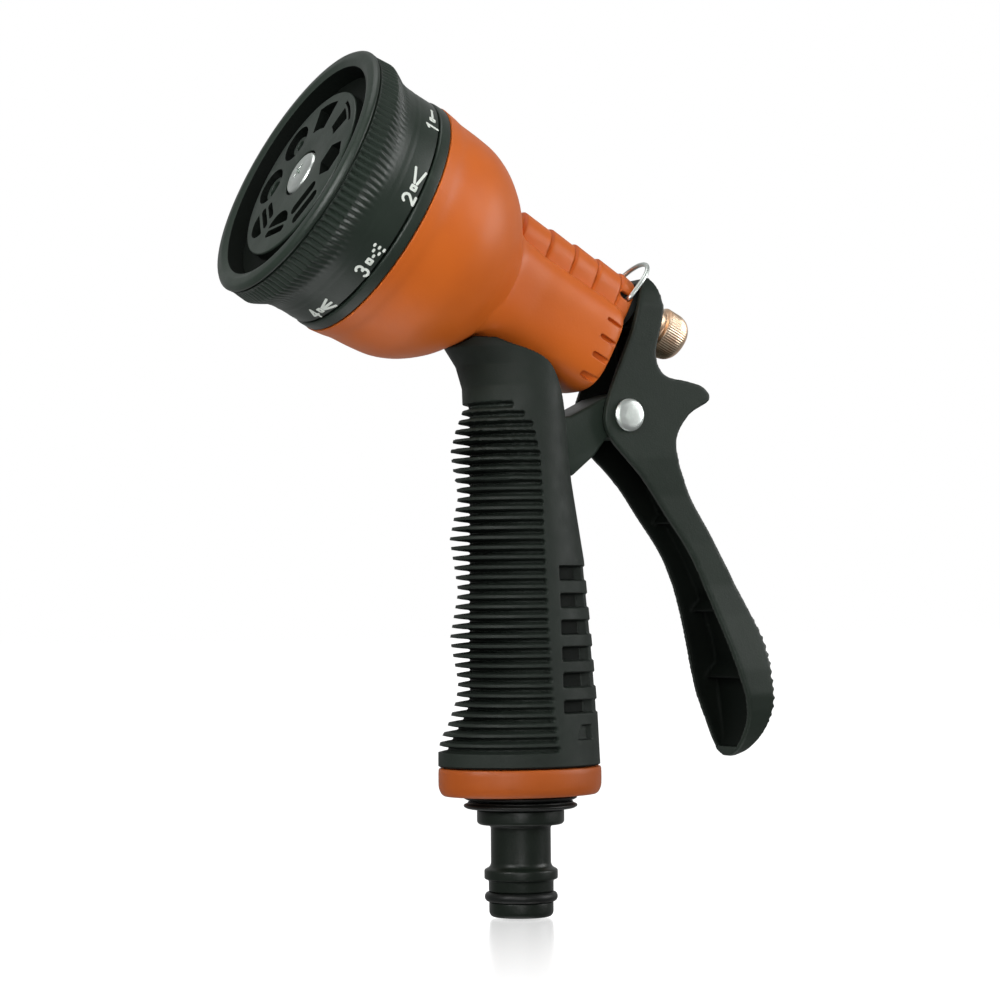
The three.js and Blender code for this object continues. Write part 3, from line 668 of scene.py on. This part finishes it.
def body_shell():
    outer = spline([(s, r) for s, r in BELL], 40)
    profile = [(r, s) for s, r in outer] + [(0, 55.0)]
    inside = [(0, 49.0), (14.0, 49.0)] + [(r - 2.2, s) for s, r in reversed(BELL[:7])]
    profile = inside + soften([(26.9, 22.8), (29.15, 22.8)], 0, closed=False) + profile[1:]
    bell = turned("body_shell_moulding", profile, segments=160, sharp=40)
    barrel = lofted("barrel", list(np.linspace(49.5, 83.4, 36)) + [84, 84.6, 85.1, 85.5, 85.8, 85.95, 86.05],
                    lambda s, a: barrel_section(s, a))
    stations = sorted(set(list(np.arange(49.5, 87.1, 0.3)) + [t - 0.02 for t in TILES]))
    tube = lofted("tube", stations, tube_section, columns=72)
    combine(bell, "UNION", barrel, tube)

    def hollow(s, angle):
        size = 9.6 * super_radius(angle, BARREL_POWER)
        return size * math.cos(angle), -1.5 + 0.9 * size * math.sin(angle)
    recess = lofted("recess", [80.5, 90], hollow, columns=64)
    bore = turned("bore", [(0, 48), (TUBE_BORE, 48), (TUBE_BORE, 90), (0, 90)], n=STEM_N, segments=48)
    slots = []
    for on_left in (True, False):
        for n, half, lean in ((5.2, 0.5, 10), (1.0, 0.58, 0), (-3.3, 0.7, -10), (-7.7, 0.85, -30)):
            turn = Matrix.Rotation(math.radians(180 - lean if on_left else lean), 4, "X")
            lift = Matrix.Translation((0, 0, n - 9.5 * math.sin(math.radians(lean))))
            slots.append(prism("slot", stadium(5.5, half, 86.3, 0), 10.2, 16, "y", HEAD @ lift @ turn))
    bail_hole = prism("bail_hole", stadium(1.75, 0.9, BAIL_AT[0] - 0.9, BAIL_AT[1]), -9, 9, "y", HEAD)
    # room in the last tile for the bail's legs as they swing
    sweep = [(85.5, 13.74), (86.73, 14.14), (87.47, 17.56), (84.8, 18.0), (82.17, 16.76)]
    reliefs = [prism("bail_relief", sweep, *ends, "y", HEAD) for ends in ((5.9, 9), (-9, -5.9))]
    combine(bell, "DIFFERENCE", recess, bore, bail_hole, *reliefs, *slots)
    return tidy_mesh(bell, merge=0.001, sharp=38)


piece(body_shell(), ORANGE, "root", "body_shell")

# ---- what shows at the rear end: gland nut, stem, adjusting nut and lock bail ----

# painted shade: the gland nut is brass, but takes the dark inner plastic because what shows of it lies in
# shade
GLAND_NUT = soften([(2.5, 84.2), (4.5, 84.2), (4.5, 87.3), (5.4, 87.3), (5.4, 89.2), (2.5, 89.2)], 0.3, 3)
piece(turned("gland_nut_turned", GLAND_NUT, n=STEM_N, segments=48), INNER_AND_SHADE, "root", "gland_nut")
VALVE_STEM = soften([(0, 52.9), (1.6, 52.9), (1.6, 55.6), (4, 55.6), (4, 57.1), (2.2, 57.1), (2.2, 104.4),
                     (1.6, 105.0), (0, 105.2)], 0.25, 3, closed=False)
piece(turned("valve_stem_turned", VALVE_STEM, n=STEM_N, segments=40), BRASS, "stem", "valve_stem")


def return_spring():
    """The coil between the stem's collar and the rear of the bore."""
    front, back, radius, wire, turns = 57.4, 81.6, 3.4, 0.45, 7
    path = [(front + wire + (back - front - 2 * wire) * t, radius * math.cos(2 * math.pi * turns * t),
             STEM_N + radius * math.sin(2 * math.pi * turns * t)) for t in np.linspace(0, 1, 40 * turns + 1)]
    coil = swept("return_spring_coil", path, wire, sides=10)
    return coil, back, (back - front - STEM_TRAVEL) / (back - front)


spring, spring_back, spring_keep = return_spring()
piece(spring, STEEL, "root", "return_spring")
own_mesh(spring)


NUT_RIDGES = 60


def adjusting_nut():
    profile = soften([
        (2.55, 95.6), (5.1, 95.6), (5.5, 95.9), (5.5, 96.6), (4.7, 96.8), (4.7, 98.3), (5.75, 98.7),
        (5.75, 102.5), (5.3, 104.0), (4.3, 105.1), (3.4, 105.4), (2.55, 105.4),
    ], [0.1, 0.3, 0.25, 0.2, 0.2, 0.2, 0.25, 0.8, 0.8, 0.5, 0.2, 0.1], 4)
    extra = [(5.75, s) for s in (99.4, 100.2, 101.0, 101.6)]
    at = max(i for i, (r, s) in enumerate(profile) if r > 5.6 and s < 99.3) + 1
    profile = profile[:at] + extra + profile[at:]

    def knurl(s, radius, angle):
        return -0.09 * (0.5 - 0.5 * math.cos(NUT_RIDGES * angle)) if radius > 5.15 and 98.8 < s < 103.8 else 0
    return turned("adjusting_nut_turned", profile, n=STEM_N, segments=480, wave=knurl)


piece(adjusting_nut(), COPPER, "nut", "adjusting_nut")


def lock_bail():
    half, straight, lean = 6.55, 4.9, math.radians(12.2)
    flat = [(-half + 1.0, 0.0), (-half + 0.25, 0.02), (-half, 0.4)]
    flat += [(-half, z) for z in np.linspace(0.8, straight, 6)]
    flat += [(half * math.cos(a), straight + half * math.sin(a)) for a in np.linspace(math.pi, 0, 40)[1:-1]]
    flat += [(half, z) for z in np.linspace(straight, 0.8, 6)]
    flat += [(half, 0.4), (half - 0.25, 0.02), (half - 1.0, 0.0)]
    path = [(BAIL_AT[0] + z * math.sin(lean), y, BAIL_AT[1] + z * math.cos(lean)) for y, z in flat]
    return swept("lock_bail_wire", path, 0.55)


piece(lock_bail(), STEEL, "bail", "lock_bail")


# ---- grip sleeve: finger grooves in front and at the sides, pockets behind ----

# (height, reach) down the front, back and sides
GRIP_FRONT = [
    (34.7, 19.6), (38.6, 19.6), (41.5, 18.7), (44, 17.0), (50, 14.4), (54, 13.8), (59, 15), (64, 16.2),
    (70, 14.9), (75, 13.8), (81, 15), (87, 16.2), (92, 15), (97, 13.8), (102, 15), (107, 16), (112, 14.6),
    (117, 12.4), (122, 12.6), (127, 14.4), (131, 17.5), (142, 17.5),
]
GRIP_BACK = [(34.7, 19.3), (49, 18.6), (63, 17.4), (82, 15.4), (91.5, 13.6), (103, 11.4), (117, 10.2)]
GRIP_HALF = [(34.7, 16), (60, 15.4), (90, 14.4), (117, 13.5)]
GROOVE_BASE = [(36, 19), (39, 18.0), (42, 16.2), (45, 14.0), (48, 12.3), (51, 11.7), (112, 11.7)]
GROOVE = {"pitch": 2.25, "first": 38.85, "count": 36, "half": 0.52, "edge": 0.28}
# (height, degrees from the rear) where the grooves end
GROOVE_END = [(38, 86), (46, 90), (64, 93), (84, 95.5), (106, 97.5), (113, 104.5), (117, 120.5), (120, 150)]
POCKETS = [(77.4, 80.6), (71.2, 74.3), (65.0, 68.2), (59.0, 62.1), (53.0, 56.2), (47.0, 49.9)]
SADDLE_N = -10.95  # underside of the barrel, which the sleeve meets
TOP_GAP = 0.35
GRIP_FOOT, GRIP_BORE = 34.7, 9.55


def ease(x):
    x = min(max(x, 0.0), 1.0)
    return x * x * (3 - 2 * x)


def grip_section(z, angle):
    """Outer surface of the sleeve at a height, angle 0 at the rear, as (x, y)."""
    turn = abs(math.degrees(math.atan2(math.sin(angle), math.cos(angle))))
    depth = along(GRIP_BACK if math.cos(angle) > 0 else GRIP_FRONT, z)
    half = along(GRIP_HALF, z)
    x, y = depth * math.cos(angle), half * math.sin(angle)
    # the grooves, with round ends towards the rear
    if turn > 60 and z < 120:
        base_depth = min(along(GROOVE_BASE, z), depth) if math.cos(angle) < 0 else depth
        base_half = half - 1.35
        bx = base_depth * math.cos(angle) + 0.9 * ease((turn - 90) / 10)
        by = base_half * math.sin(angle)
        row = round((z - GROOVE["first"]) / GROOVE["pitch"])
        if 0 <= row < GROOVE["count"]:
            centre = GROOVE["first"] + row * GROOVE["pitch"]
            end = along(GROOVE_END, centre)
            past = max(0.0, math.radians(end - turn) * 14.5)
            distance = math.hypot(z - centre, past)
            keep = ease((distance - GROOVE["half"] + GROOVE["edge"]) / (2 * GROOVE["edge"]))
            x, y = bx + (x - bx) * keep, by + (y - by) * keep
    # shallow rows round the back, with a deeper pocket at each side
    if turn < 90:
        for low, high in POCKETS:
            across = ease((min(z - low, high - z) + 0.18) / 0.36)
            if across <= 0:
                continue
            around = ease((turn - 43) / 2.0) * ease((79.5 - turn) / 2.0)
            shallow = 0.4 * ease((46 - turn) / 3.0)
            depth_here = max(2.1 * around, shallow) * across
            size = math.hypot(x, y)
            x, y = x * (1 - depth_here / size), y * (1 - depth_here / size)
        reach = ease((turn - 49) / 1.6) * ease((67.5 - 1.6 * max(0, z - 41.2) - turn) / 2.0)
        inside = reach * ease((min(z - 40.9, 44.2 - z) + 0.15) / 0.3)
        size = math.hypot(x, y)
        x, y = x * (1 - 1.2 * inside / size), y * (1 - 1.2 * inside / size)
    return x, y


def in_shell(s, y, n):
    """Whether a point is inside the outline of the body shell, swollen by the gap."""
    reach = math.hypot(y, n)
    if 22.5 <= s < 55 and reach < along(BELL, s) + TOP_GAP:
        return True
    return 49 < s < 88 and reach < math.hypot(*barrel_section(min(s, 84), math.atan2(n, y), TOP_GAP))


def sleeve_top(angle):
    """The height of the sleeve's top edge at an angle."""
    z = 112.0
    while z < 142:
        x, y = grip_section(z, angle)
        s, across, n = TO_HEAD @ Vector((x, y, z))
        if in_shell(s, across, n) or (s > 40 and n > SADDLE_N):
            slope = 2.28 * math.log1p(math.exp((x - 3.0) / 1.3))
            dip = 1.8 * math.exp(-((x + 11) / (8 if x > -11 else 3.5)) ** 2)
            return z - slope - dip
        z += 0.2
    return z


SLOT_HALF, SLOT_BOTTOM = 6.2, 98.5  # the slot at the rear for the trigger's bracket


def grip_sleeve():
    count = 400
    columns = [(2 * math.pi * k / count, None) for k in range(count)]
    slot_angle = math.asin(SLOT_HALF / along(GRIP_HALF, SLOT_BOTTOM))
    for sign in (1, -1):
        columns.append((sign * slot_angle % (2 * math.pi), "inner"))
        columns.append((sign * (slot_angle + 1e-4) % (2 * math.pi), "outer"))
    columns.sort(key=lambda c: c[0])
    tops = []
    for angle, kind in columns:
        x, y = grip_section(SLOT_BOTTOM, angle)
        in_slot = kind == "inner" or (kind is None and x > 0 and abs(y) < SLOT_HALF)
        tops.append(SLOT_BOTTOM if in_slot else sleeve_top(angle))
    fixed = list(np.arange(GRIP_FOOT, 98.4, 0.225))
    rows = [[(*grip_section(z, angle), z) for angle, _ in columns] for z in fixed]
    for k in range(1, 111):
        t = k / 110
        row = []
        for (angle, _), top in zip(columns, tops):
            z = 98.4 + (top - 98.4) * t
            x, y = grip_section(z, angle)
            row.append((x, y, z))
        rows.append(row)

    def drawn(row, inwards, lift=0.0):
        return [(x * (1 - inwards / math.hypot(x, y)), y * (1 - inwards / math.hypot(x, y)), z + lift)
                for x, y, z in row]
    # round the top edge over and go down inside to the bore
    last, bottom = rows[-1], rows[0]
    rows[-1] = drawn(last, 0.12)
    top_row = drawn(last, 0.55, 0.12)
    inner_top = [(GRIP_BORE * x / math.hypot(x, y), GRIP_BORE * y / math.hypot(x, y), z - 0.1)
                 for x, y, z in last]
    inner_low = [(GRIP_BORE * math.cos(a), GRIP_BORE * math.sin(a), GRIP_FOOT) for a, _ in columns]
    rows[0] = [(x, y, z + 0.35) for x, y, z in bottom]
    under = drawn(bottom, 0.4)
    rows = [inner_low, under] + rows + [top_row, inner_top]
    points = [p for row in rows for p in row]
    faces = sheet_faces(len(rows), len(columns), wrap_rows=True)
    return tidy_mesh(new_object("grip_sleeve_ribbed", points, faces), merge=0, sharp=50)


# picks the faces in the pockets, which get painted shade
def in_pocket(at):
    x, y, z = HEAD @ at
    turn = math.degrees(math.atan2(abs(y), x))
    return 44 < turn < 78.5 and any(low + 0.12 < z < high - 0.12 for low, high in POCKETS)


# painted shade: the faces in the pockets take the darker plastic
piece(grip_sleeve(), GRIP, "root", "grip_sleeve", deep=in_pocket)


# ---- handle frame: core, spigot and the bracket that carries the trigger ----

def handle_frame():
    core = turned("handle_frame_bracket", soften([(0, 28.8), (9.2, 28.8), (9.2, 117.6), (0, 117.6)],
                  0.4, 3, closed=False), UPRIGHT, segments=64)
    spigot = turned("spigot", soften([(0, 112), (7.5, 112), (7.5, 139.5), (0, 139.5)], 0.4, 3, closed=False),
                    UPRIGHT, segments=64)
    spigot.data.transform(Matrix.Translation((2 * MM, 0, 0)))
    around = [(PIVOT[0] + 5.5 * math.cos(a), PIVOT[1] + 5.5 * math.sin(a))
              for a in np.linspace(-0.62 * math.pi, 0.66 * math.pi, 24)]
    outline = [(6, 103), (11.4, 101.5), (17.5, 106.5), (20.8, 110.6), *around,
               (20, 120), (11, 115.5), (6, 115.5)]
    bracket = prism("bracket", outline, -5.8, 5.8)
    applied(bracket, ("BEVEL", {"width": 0.7 * MM, "segments": 3, "limit_method": "ANGLE",
                                "angle_limit": math.radians(50)}))
    combine(core, "UNION", spigot, bracket)
    hole = prism("hole", [(PIVOT[0] + a, PIVOT[1] + b) for a, b in circle(2.8, 32)], -9, 9)
    steps = [(0, 20), (7.3, 20), (7.3, 48.2), (4.2, 48.2), (4.2, 106), (3.2, 106), (3.2, 145), (0, 145)]
    bore = turned("bore", steps, UPRIGHT, segments=48)
    combine(core, "DIFFERENCE", hole, bore)
    return tidy_mesh(core, merge=0.001, sharp=38)


# painted light: the frame takes the dial's lighter green rather than the lever's, to stand for the light
# falling on its near side
piece(handle_frame(), DIAL_GREEN, "root", "handle_frame")

# ---- rivet ----

ACROSS_PIVOT = Matrix.Translation((PIVOT[0], 0, PIVOT[1])) @ Matrix(
    ((0, 1, 0, 0), (1, 0, 0, 0), (0, 0, 1, 0), (0, 0, 0, 1)))
half_shaft, head_reach = 8.5, 9.6
piece(turned("pivot_rivet_domed", soften([
    (0, -head_reach), (1.6, -head_reach + 0.02), (3.1, -head_reach + 0.14), (3.85, -head_reach + 0.6),
    (3.85, -half_shaft), (2.5, -half_shaft), (2.5, half_shaft), (3.85, half_shaft), (3.85, head_reach - 0.6),
    (3.1, head_reach - 0.14), (1.6, head_reach - 0.02), (0, head_reach),
], 0.5, 4, closed=False), ACROSS_PIVOT, segments=64), STEEL, "root", "pivot_rivet")

# ---- base: orange band, seals and hose nipple ----


def base_collar():
    stations = [28.0, 28.05, 28.3, 28.7, 29.2, 29.7, 30.4, 31.5, 33.0, 34.0, 34.3, 34.42]
    inset = [1.75, 1.25, 0.85, 0.55, 0.3, 0.12, 0.02, 0, 0, 0.05, 0.2, 0.5]

    def section(z, angle):
        by = float(np.interp(z, stations, inset))
        return (19.6 - by) * math.cos(angle), (16 - by) * math.sin(angle)
    columns = 128
    points = [(*section(z, 2 * math.pi * k / columns), z) for z in stations for k in range(columns)]
    points += [(9.5 * math.cos(2 * math.pi * k / columns), 9.5 * math.sin(2 * math.pi * k / columns), z)
               for z in (34.42, 28.0) for k in range(columns)]
    faces = sheet_faces(len(stations) + 2, columns, wrap_rows=True)
    return tidy_mesh(new_object("base_collar_band", points, faces), sharp=40)


# painted shade: the band takes the darker copy of the orange
piece(base_collar(), ORANGE_PAINTED_SHADE, "root", "base_collar")
for name, profile in (
    ("collar_washer", [(7.3, 26.85), (12.3, 26.85), (13.1, 27.25), (13.1, 27.65), (12.6, 27.9), (7.3, 27.9)]),
    ("collar_seal", [(7.3, 24.9), (12.4, 24.9), (13.15, 25.35), (13.15, 25.8), (12.2, 26.2), (12.2, 26.5),
                     (7.3, 26.5)]),
):
    piece(turned(f"{name}_round", soften(profile, 0.3, 4), UPRIGHT, segments=96), BLACK, "root", name)

NIPPLE = [  # (radius, height, rounding)
    (4.5, 0, 0.4), (6.9, 0, 0.5), (7.45, 0.9, 0.4), (7.45, 3.35, 0.25), (6.5, 3.4, 0.1), (6.5, 5.8, 0.1),
    (7.5, 5.85, 0.25), (7.5, 8.3, 0.3), (8.5, 8.75, 0.3), (8.5, 10.8, 0.35), (7.3, 11.45, 0.4),
    (6.95, 12.2, 0.4), (6.95, 20.6, 0.5), (7.5, 21.2, 0.4), (9.6, 21.25, 0.3), (10.1, 21.8, 0.3),
    (10.1, 24.6, 0.25), (7.0, 24.6, 0.2), (7.0, 46, 0.3), (4.5, 46, 0.3),
]
nipple = soften([(r, z) for r, z, _ in NIPPLE], [rounding for _, _, rounding in NIPPLE], 4)
piece(turned("hose_nipple_turned", nipple, UPRIGHT, segments=96), DARK_GREEN, "root", "hose_nipple")
seal = [(7.5 + 0.95 * math.cos(a), 4.6 + 1.12 * math.sin(a)) for a in np.arange(24) * math.pi / 12]
piece(turned("nipple_o_ring_round", seal, UPRIGHT, segments=96, sharp=0), BLACK, "root", "nipple_o_ring")

# ---- trigger lever: a channel open to the front, with horn, pads and ribs ----

LEVER_BACK = [
    (33, 148.9), (34.5, 145.4), (35.0, 139.8), (32.9, 130.6), (35.2, 125.6), (41.5, 124.2), (45.8, 122.9),
    (47.4, 119.9), (41.5, 116), (38.2, 109), (42, 97.5), (48, 87.6), (53.8, 77), (60.4, 63), (62, 52),
    (62.2, 46), (61.3, 41), (59.5, 37.3), (57.5, 35.3),
]
LEVER_FRONT = [
    (55.9, 35.0), (56.3, 40), (56, 45), (53.9, 53), (49.2, 67.6), (43.2, 82), (35.6, 92.9), (29.6, 101),
    (21, 109.9), (19, 115.5), (21.3, 123.4), (26.4, 135.4), (28.6, 142.7), (30.6, 147.4),
]
LEVER_HOLLOW = [
    (31.9, 146.8), (32.2, 139.8), (30.5, 130.8), (33, 123.4), (38.6, 120.4), (36, 109), (39.8, 96.2),
    (45.7, 86.6), (51.4, 76), (58, 62.2), (60.1, 52), (60.3, 46),
    (59.2, 40.8), (57.3, 37.4),
]
CHANNEL = spline(LEVER_HOLLOW, 70) + [(45, 37.4), (40, 60), (28, 90), (14, 104), (10, 120), (20, 146.8)]
LEVER_WIDTH = [  # (height, half width)
    (34.6, 0.6), (35.2, 1.6), (35.5, 2.8), (36.2, 4.3), (37.4, 5.8), (39.7, 7.8), (43, 10), (46, 11.3),
    (50, 12.2), (56, 11.7), (62, 10.6), (69, 9.1), (76, 8.0), (86, 7.6), (97, 7.6), (106, 8.25),
    (142, 8.25), (145.5, 7.2), (147.6, 5.9), (149.5, 4),
]


def lever_front(wall):
    """The lever's outline seen from the front, drawn in by a wall."""
    levels = np.arange(34.6, 149.6, 0.8)
    side = [(max(along(LEVER_WIDTH, z) - wall, 0.4), z) for z in levels]
    return side + [(-y, z) for y, z in reversed(side)]


def trigger_lever():
    outline = spline(LEVER_BACK, 150) + spline(LEVER_FRONT, 110)
    lever = prism("trigger_lever_channel", outline, -16, 16)
    combine(lever, "INTERSECT", prism("front", lever_front(0), 10, 70, "x"))
    hollow = prism("hollow", CHANNEL, -16, 16)
    combine(hollow, "INTERSECT", prism("hollow_front", lever_front(1.95), 5, 75, "x"))
    combine(lever, "DIFFERENCE", hollow)
    crown = [(90.2 + 5 * math.cos(a), 5 * math.sin(a)) for a in np.linspace(-0.99, 0.99, 15)]
    pad = prism("pad", [(90.6, -4.18)] + crown + [(90.6, 4.18)], -6.8, 6.8, "y",
                HEAD @ Matrix.Translation((0, 0, STEM_N)))
    ribs = []
    for z in (93, 72, 56):
        deep = along([(52, 58.6), (63, 56.3), (75, 50.8), (87, 44.4), (98.5, 38.0)], z)
        half = along(LEVER_WIDTH, z) - 1.2
        section = [(deep - 1.4, z - 2.0), (deep - 0.6, z - 2.4), (deep + 1.6, z), (deep + 1.0, z + 0.9)]
        ribs.append(prism("rib", section, -half, half))
    combine(lever, "UNION", pad, *ribs)
    slit = prism("slit", [(84, -3.4), (102, -3.4), (102, 3.9), (84, 3.9)], -2.9, 2.9, "y",
                 HEAD @ Matrix.Translation((0, 0, STEM_N)))
    hole = prism("hole", [(PIVOT[0] + a, PIVOT[1] + b) for a, b in circle(2.8, 32)], -12, 12)
    seat = turned("seat", [(0, 95.3), (6.2, 95.3), (6.2, 112), (0, 112)], n=STEM_N, segments=64)
    combine(lever, "DIFFERENCE", slit, hole, seat)
    applied(lever, ("REMESH", {"mode": "VOXEL", "voxel_size": 0.34 * MM, "adaptivity": 0.0}),
            ("SMOOTH", {"factor": 0.5, "iterations": 5}))
    ridge_back(lever)
    return tidy_mesh(lever, merge=0, sharp=0)


def ridge_back(lever):
    """Small bumps across the finger side of the lever, low down."""
    mesh = lever.data
    count = len(mesh.vertices)
    place, normal = np.empty(3 * count), np.empty(3 * count)
    mesh.vertices.foreach_get("co", place)
    mesh.vertices.foreach_get("normal", normal)
    place, normal = place.reshape(-1, 3), normal.reshape(-1, 3)
    z = place[:, 2] / MM
    amount = (np.clip((normal[:, 0] - 0.55) / 0.25, 0, 1) * np.clip((z - 43) / 2, 0, 1)
              * np.clip((69 - z) / 2, 0, 1))
    amount *= place[:, 0] / MM > 56
    place += normal * (amount * 0.24 * np.cos(2 * math.pi * z / 2.05) * MM)[:, None]
    mesh.vertices.foreach_set("co", place.reshape(-1))
    mesh.update()


def in_outline(x, z, outline):
    """Whether a point lies inside a closed outline."""
    inside = False
    for (ax, az), (bx, bz) in zip(outline, outline[1:] + outline[:1]):
        if (az > z) != (bz > z) and x < ax + (z - az) / (bz - az) * (bx - ax):
            inside = not inside
    return inside




# picks the faces inside the channel, which get painted shade
def in_channel(at):
    x, y, z = HEAD @ at
    return abs(y) < along(LEVER_WIDTH, z) - 1.4 and in_outline(x - 0.6, z, CHANNEL)


# painted shade: the inside of the channel takes the darker plastic
piece(trigger_lever(), GREEN, "trigger", "trigger_lever", deep=in_channel)

# ---- CAD nodes that stay as they are ----

KEPT = {
    "diffuser_plate": INNER_AND_SHADE, "distributor_plate": INNER_AND_SHADE, "port_seal": BLACK, "port_spring": STEEL,
    "detent_ball": STEEL, "detent_spring": STEEL, "feed_tube": INNER_AND_SHADE, "valve_seat": BRASS,
    "valve_washer": BLACK, "stem_o_ring": BLACK, "spigot_o_ring": BLACK, "nipple_seal": BLACK,
}
for name, material in KEPT.items():
    NODES[name].data.materials.clear()
    NODES[name].data.materials.append(material)

# ---- camera ----

AZIMUTH, ELEVATION, ROLL = -27.6, -1.8, 0.5  # degrees
FOCAL, SENSOR = 108.0, 36.0
DISTANCE = 692.84  # mm from the origin's plane
AIM = (4.965, -96.074)  # of the origin in the picture's plane, mm right and up of its middle


def camera():
    a, e, roll = (math.radians(v) for v in (AZIMUTH, ELEVATION, ROLL))
    back = Vector((math.sin(a) * math.cos(e), -math.cos(a) * math.cos(e), math.sin(e)))
    level = Vector((math.cos(a), math.sin(a), 0))
    up = back.cross(level)
    right = math.cos(roll) * level - math.sin(roll) * up
    top = math.sin(roll) * level + math.cos(roll) * up
    place = -(AIM[0] * right + AIM[1] * top - DISTANCE * back)
    made = bpy.data.objects.new("camera", bpy.data.cameras.new("camera"))
    bpy.context.scene.collection.objects.link(made)
    made.matrix_world = Matrix.Translation(place * MM) @ Matrix((right, top, back)).transposed().to_4x4()
    made.data.lens, made.data.sensor_width = FOCAL, SENSOR
    made.data.clip_start, made.data.clip_end = 0.02, 40
    bpy.context.scene.camera = made


camera()

# ---- floor, backdrop, light ----


def studio():
    scene = bpy.context.scene
    world = bpy.data.worlds.new("studio")
    scene.world = world
    world.use_nodes = True
    tree = world.node_tree
    sky = tree.nodes["Background"]
    place = tree.nodes.new("ShaderNodeTexCoord")
    facing = tree.nodes.new("ShaderNodeVectorMath")
    facing.operation = "DOT_PRODUCT"
    facing.inputs[1].default_value = (0.463, 0.886, 0.0)
    tree.links.new(place.outputs["Generated"], facing.inputs[0])
    backdrop = tree.nodes.new("ShaderNodeMapRange")
    for socket, value in (("From Min", 0.3), ("From Max", 1.0), ("To Min", 0.2), ("To Max", 0.5)):
        backdrop.inputs[socket].default_value = value
    tree.links.new(facing.outputs["Value"], backdrop.inputs["Value"])
    tree.links.new(backdrop.outputs["Result"], sky.inputs["Strength"])
    split = tree.nodes.new("ShaderNodeSeparateXYZ")
    ramp = tree.nodes.new("ShaderNodeValToRGB")
    tree.links.new(place.outputs["Generated"], split.inputs[0])
    tree.links.new(split.outputs["Z"], ramp.inputs["Fac"])
    tree.links.new(ramp.outputs["Color"], sky.inputs["Color"])
    ramp.color_ramp.elements[0].color = (0.8, 0.8, 0.8, 1)
    ramp.color_ramp.elements[1].position = 0.08
    ramp.color_ramp.elements[1].color = (1, 1, 1, 1)

    reach, drop = 4000, -0.4
    corners = [(-reach, -reach, drop), (reach, -reach, drop), (reach, reach, drop), (-reach, reach, drop)]
    floor = new_object("floor", corners, [(0, 1, 2, 3)])
    n = Nodes("floor_white")
    pale = n.blend(n.remap(n.noise(3, 3), 0.3, 0.7, 0, 1), (0.93, 0.93, 0.93, 1), (0.96, 0.96, 0.96, 1))
    glow = n.add("ShaderNodeEmission", {"Color": pale, "Strength": 1.18})
    gloss = n.add("ShaderNodeBsdfGlossy", {"Color": (3.2, 3.2, 3.2, 1), "Roughness": 0.2})
    dull = n.add("ShaderNodeBsdfDiffuse", {"Color": pale})
    away = n.add("ShaderNodeVectorMath", {0: n.place}, operation="LENGTH").outputs["Value"]
    share = n.remap(away, 0.01, 0.13, 0.44, 0.06)
    both = n.add("ShaderNodeMixShader", {0: share, 1: glow.outputs[0], 2: gloss.outputs[0]})
    whole = n.add("ShaderNodeMixShader", {0: 0.02, 1: both.outputs[0], 2: dull.outputs[0]})
    n.show(floor, whole)

    columns, rows = 48, 16
    points = [(6000 * math.cos(v) * math.cos(u), 6000 * math.cos(v) * math.sin(u), 6000 * math.sin(v))
              for v in np.linspace(-0.02, 0.5 * math.pi, rows)
              for u in np.arange(columns) * 2 * math.pi / columns]
    dome = new_object("backdrop", points, sheet_faces(rows, columns))
    n = Nodes("backdrop_white")
    n.show(dome, n.add("ShaderNodeEmission", {"Color": (1, 1, 1, 1), "Strength": 1.0}))

    for name, place, size, watts in (
        ("key", (640, -330, 300), 460, 3.0),
        ("front", (-330, -640, 200), 420, 1.9),
        ("left", (-620, -260, 380), 320, 2.8),
        ("below", (-20, 60, -520), 560, 1.2),
        ("top", (-60, 60, 700), 420, 0.8),
    ):
        light = bpy.data.lights.new(name, "AREA")
        light.energy, light.shape, light.size = watts, "DISK", size * MM
        made = bpy.data.objects.new(name, light)
        at = Vector(place) * MM
        made.location = at
        made.rotation_euler = (at - Vector((0, 0, 0.12))).to_track_quat("Z", "Y").to_euler()
        bpy.context.scene.collection.objects.link(made)
    scene.view_settings.view_transform = "Standard"
    scene.view_settings.look = "None"


studio()
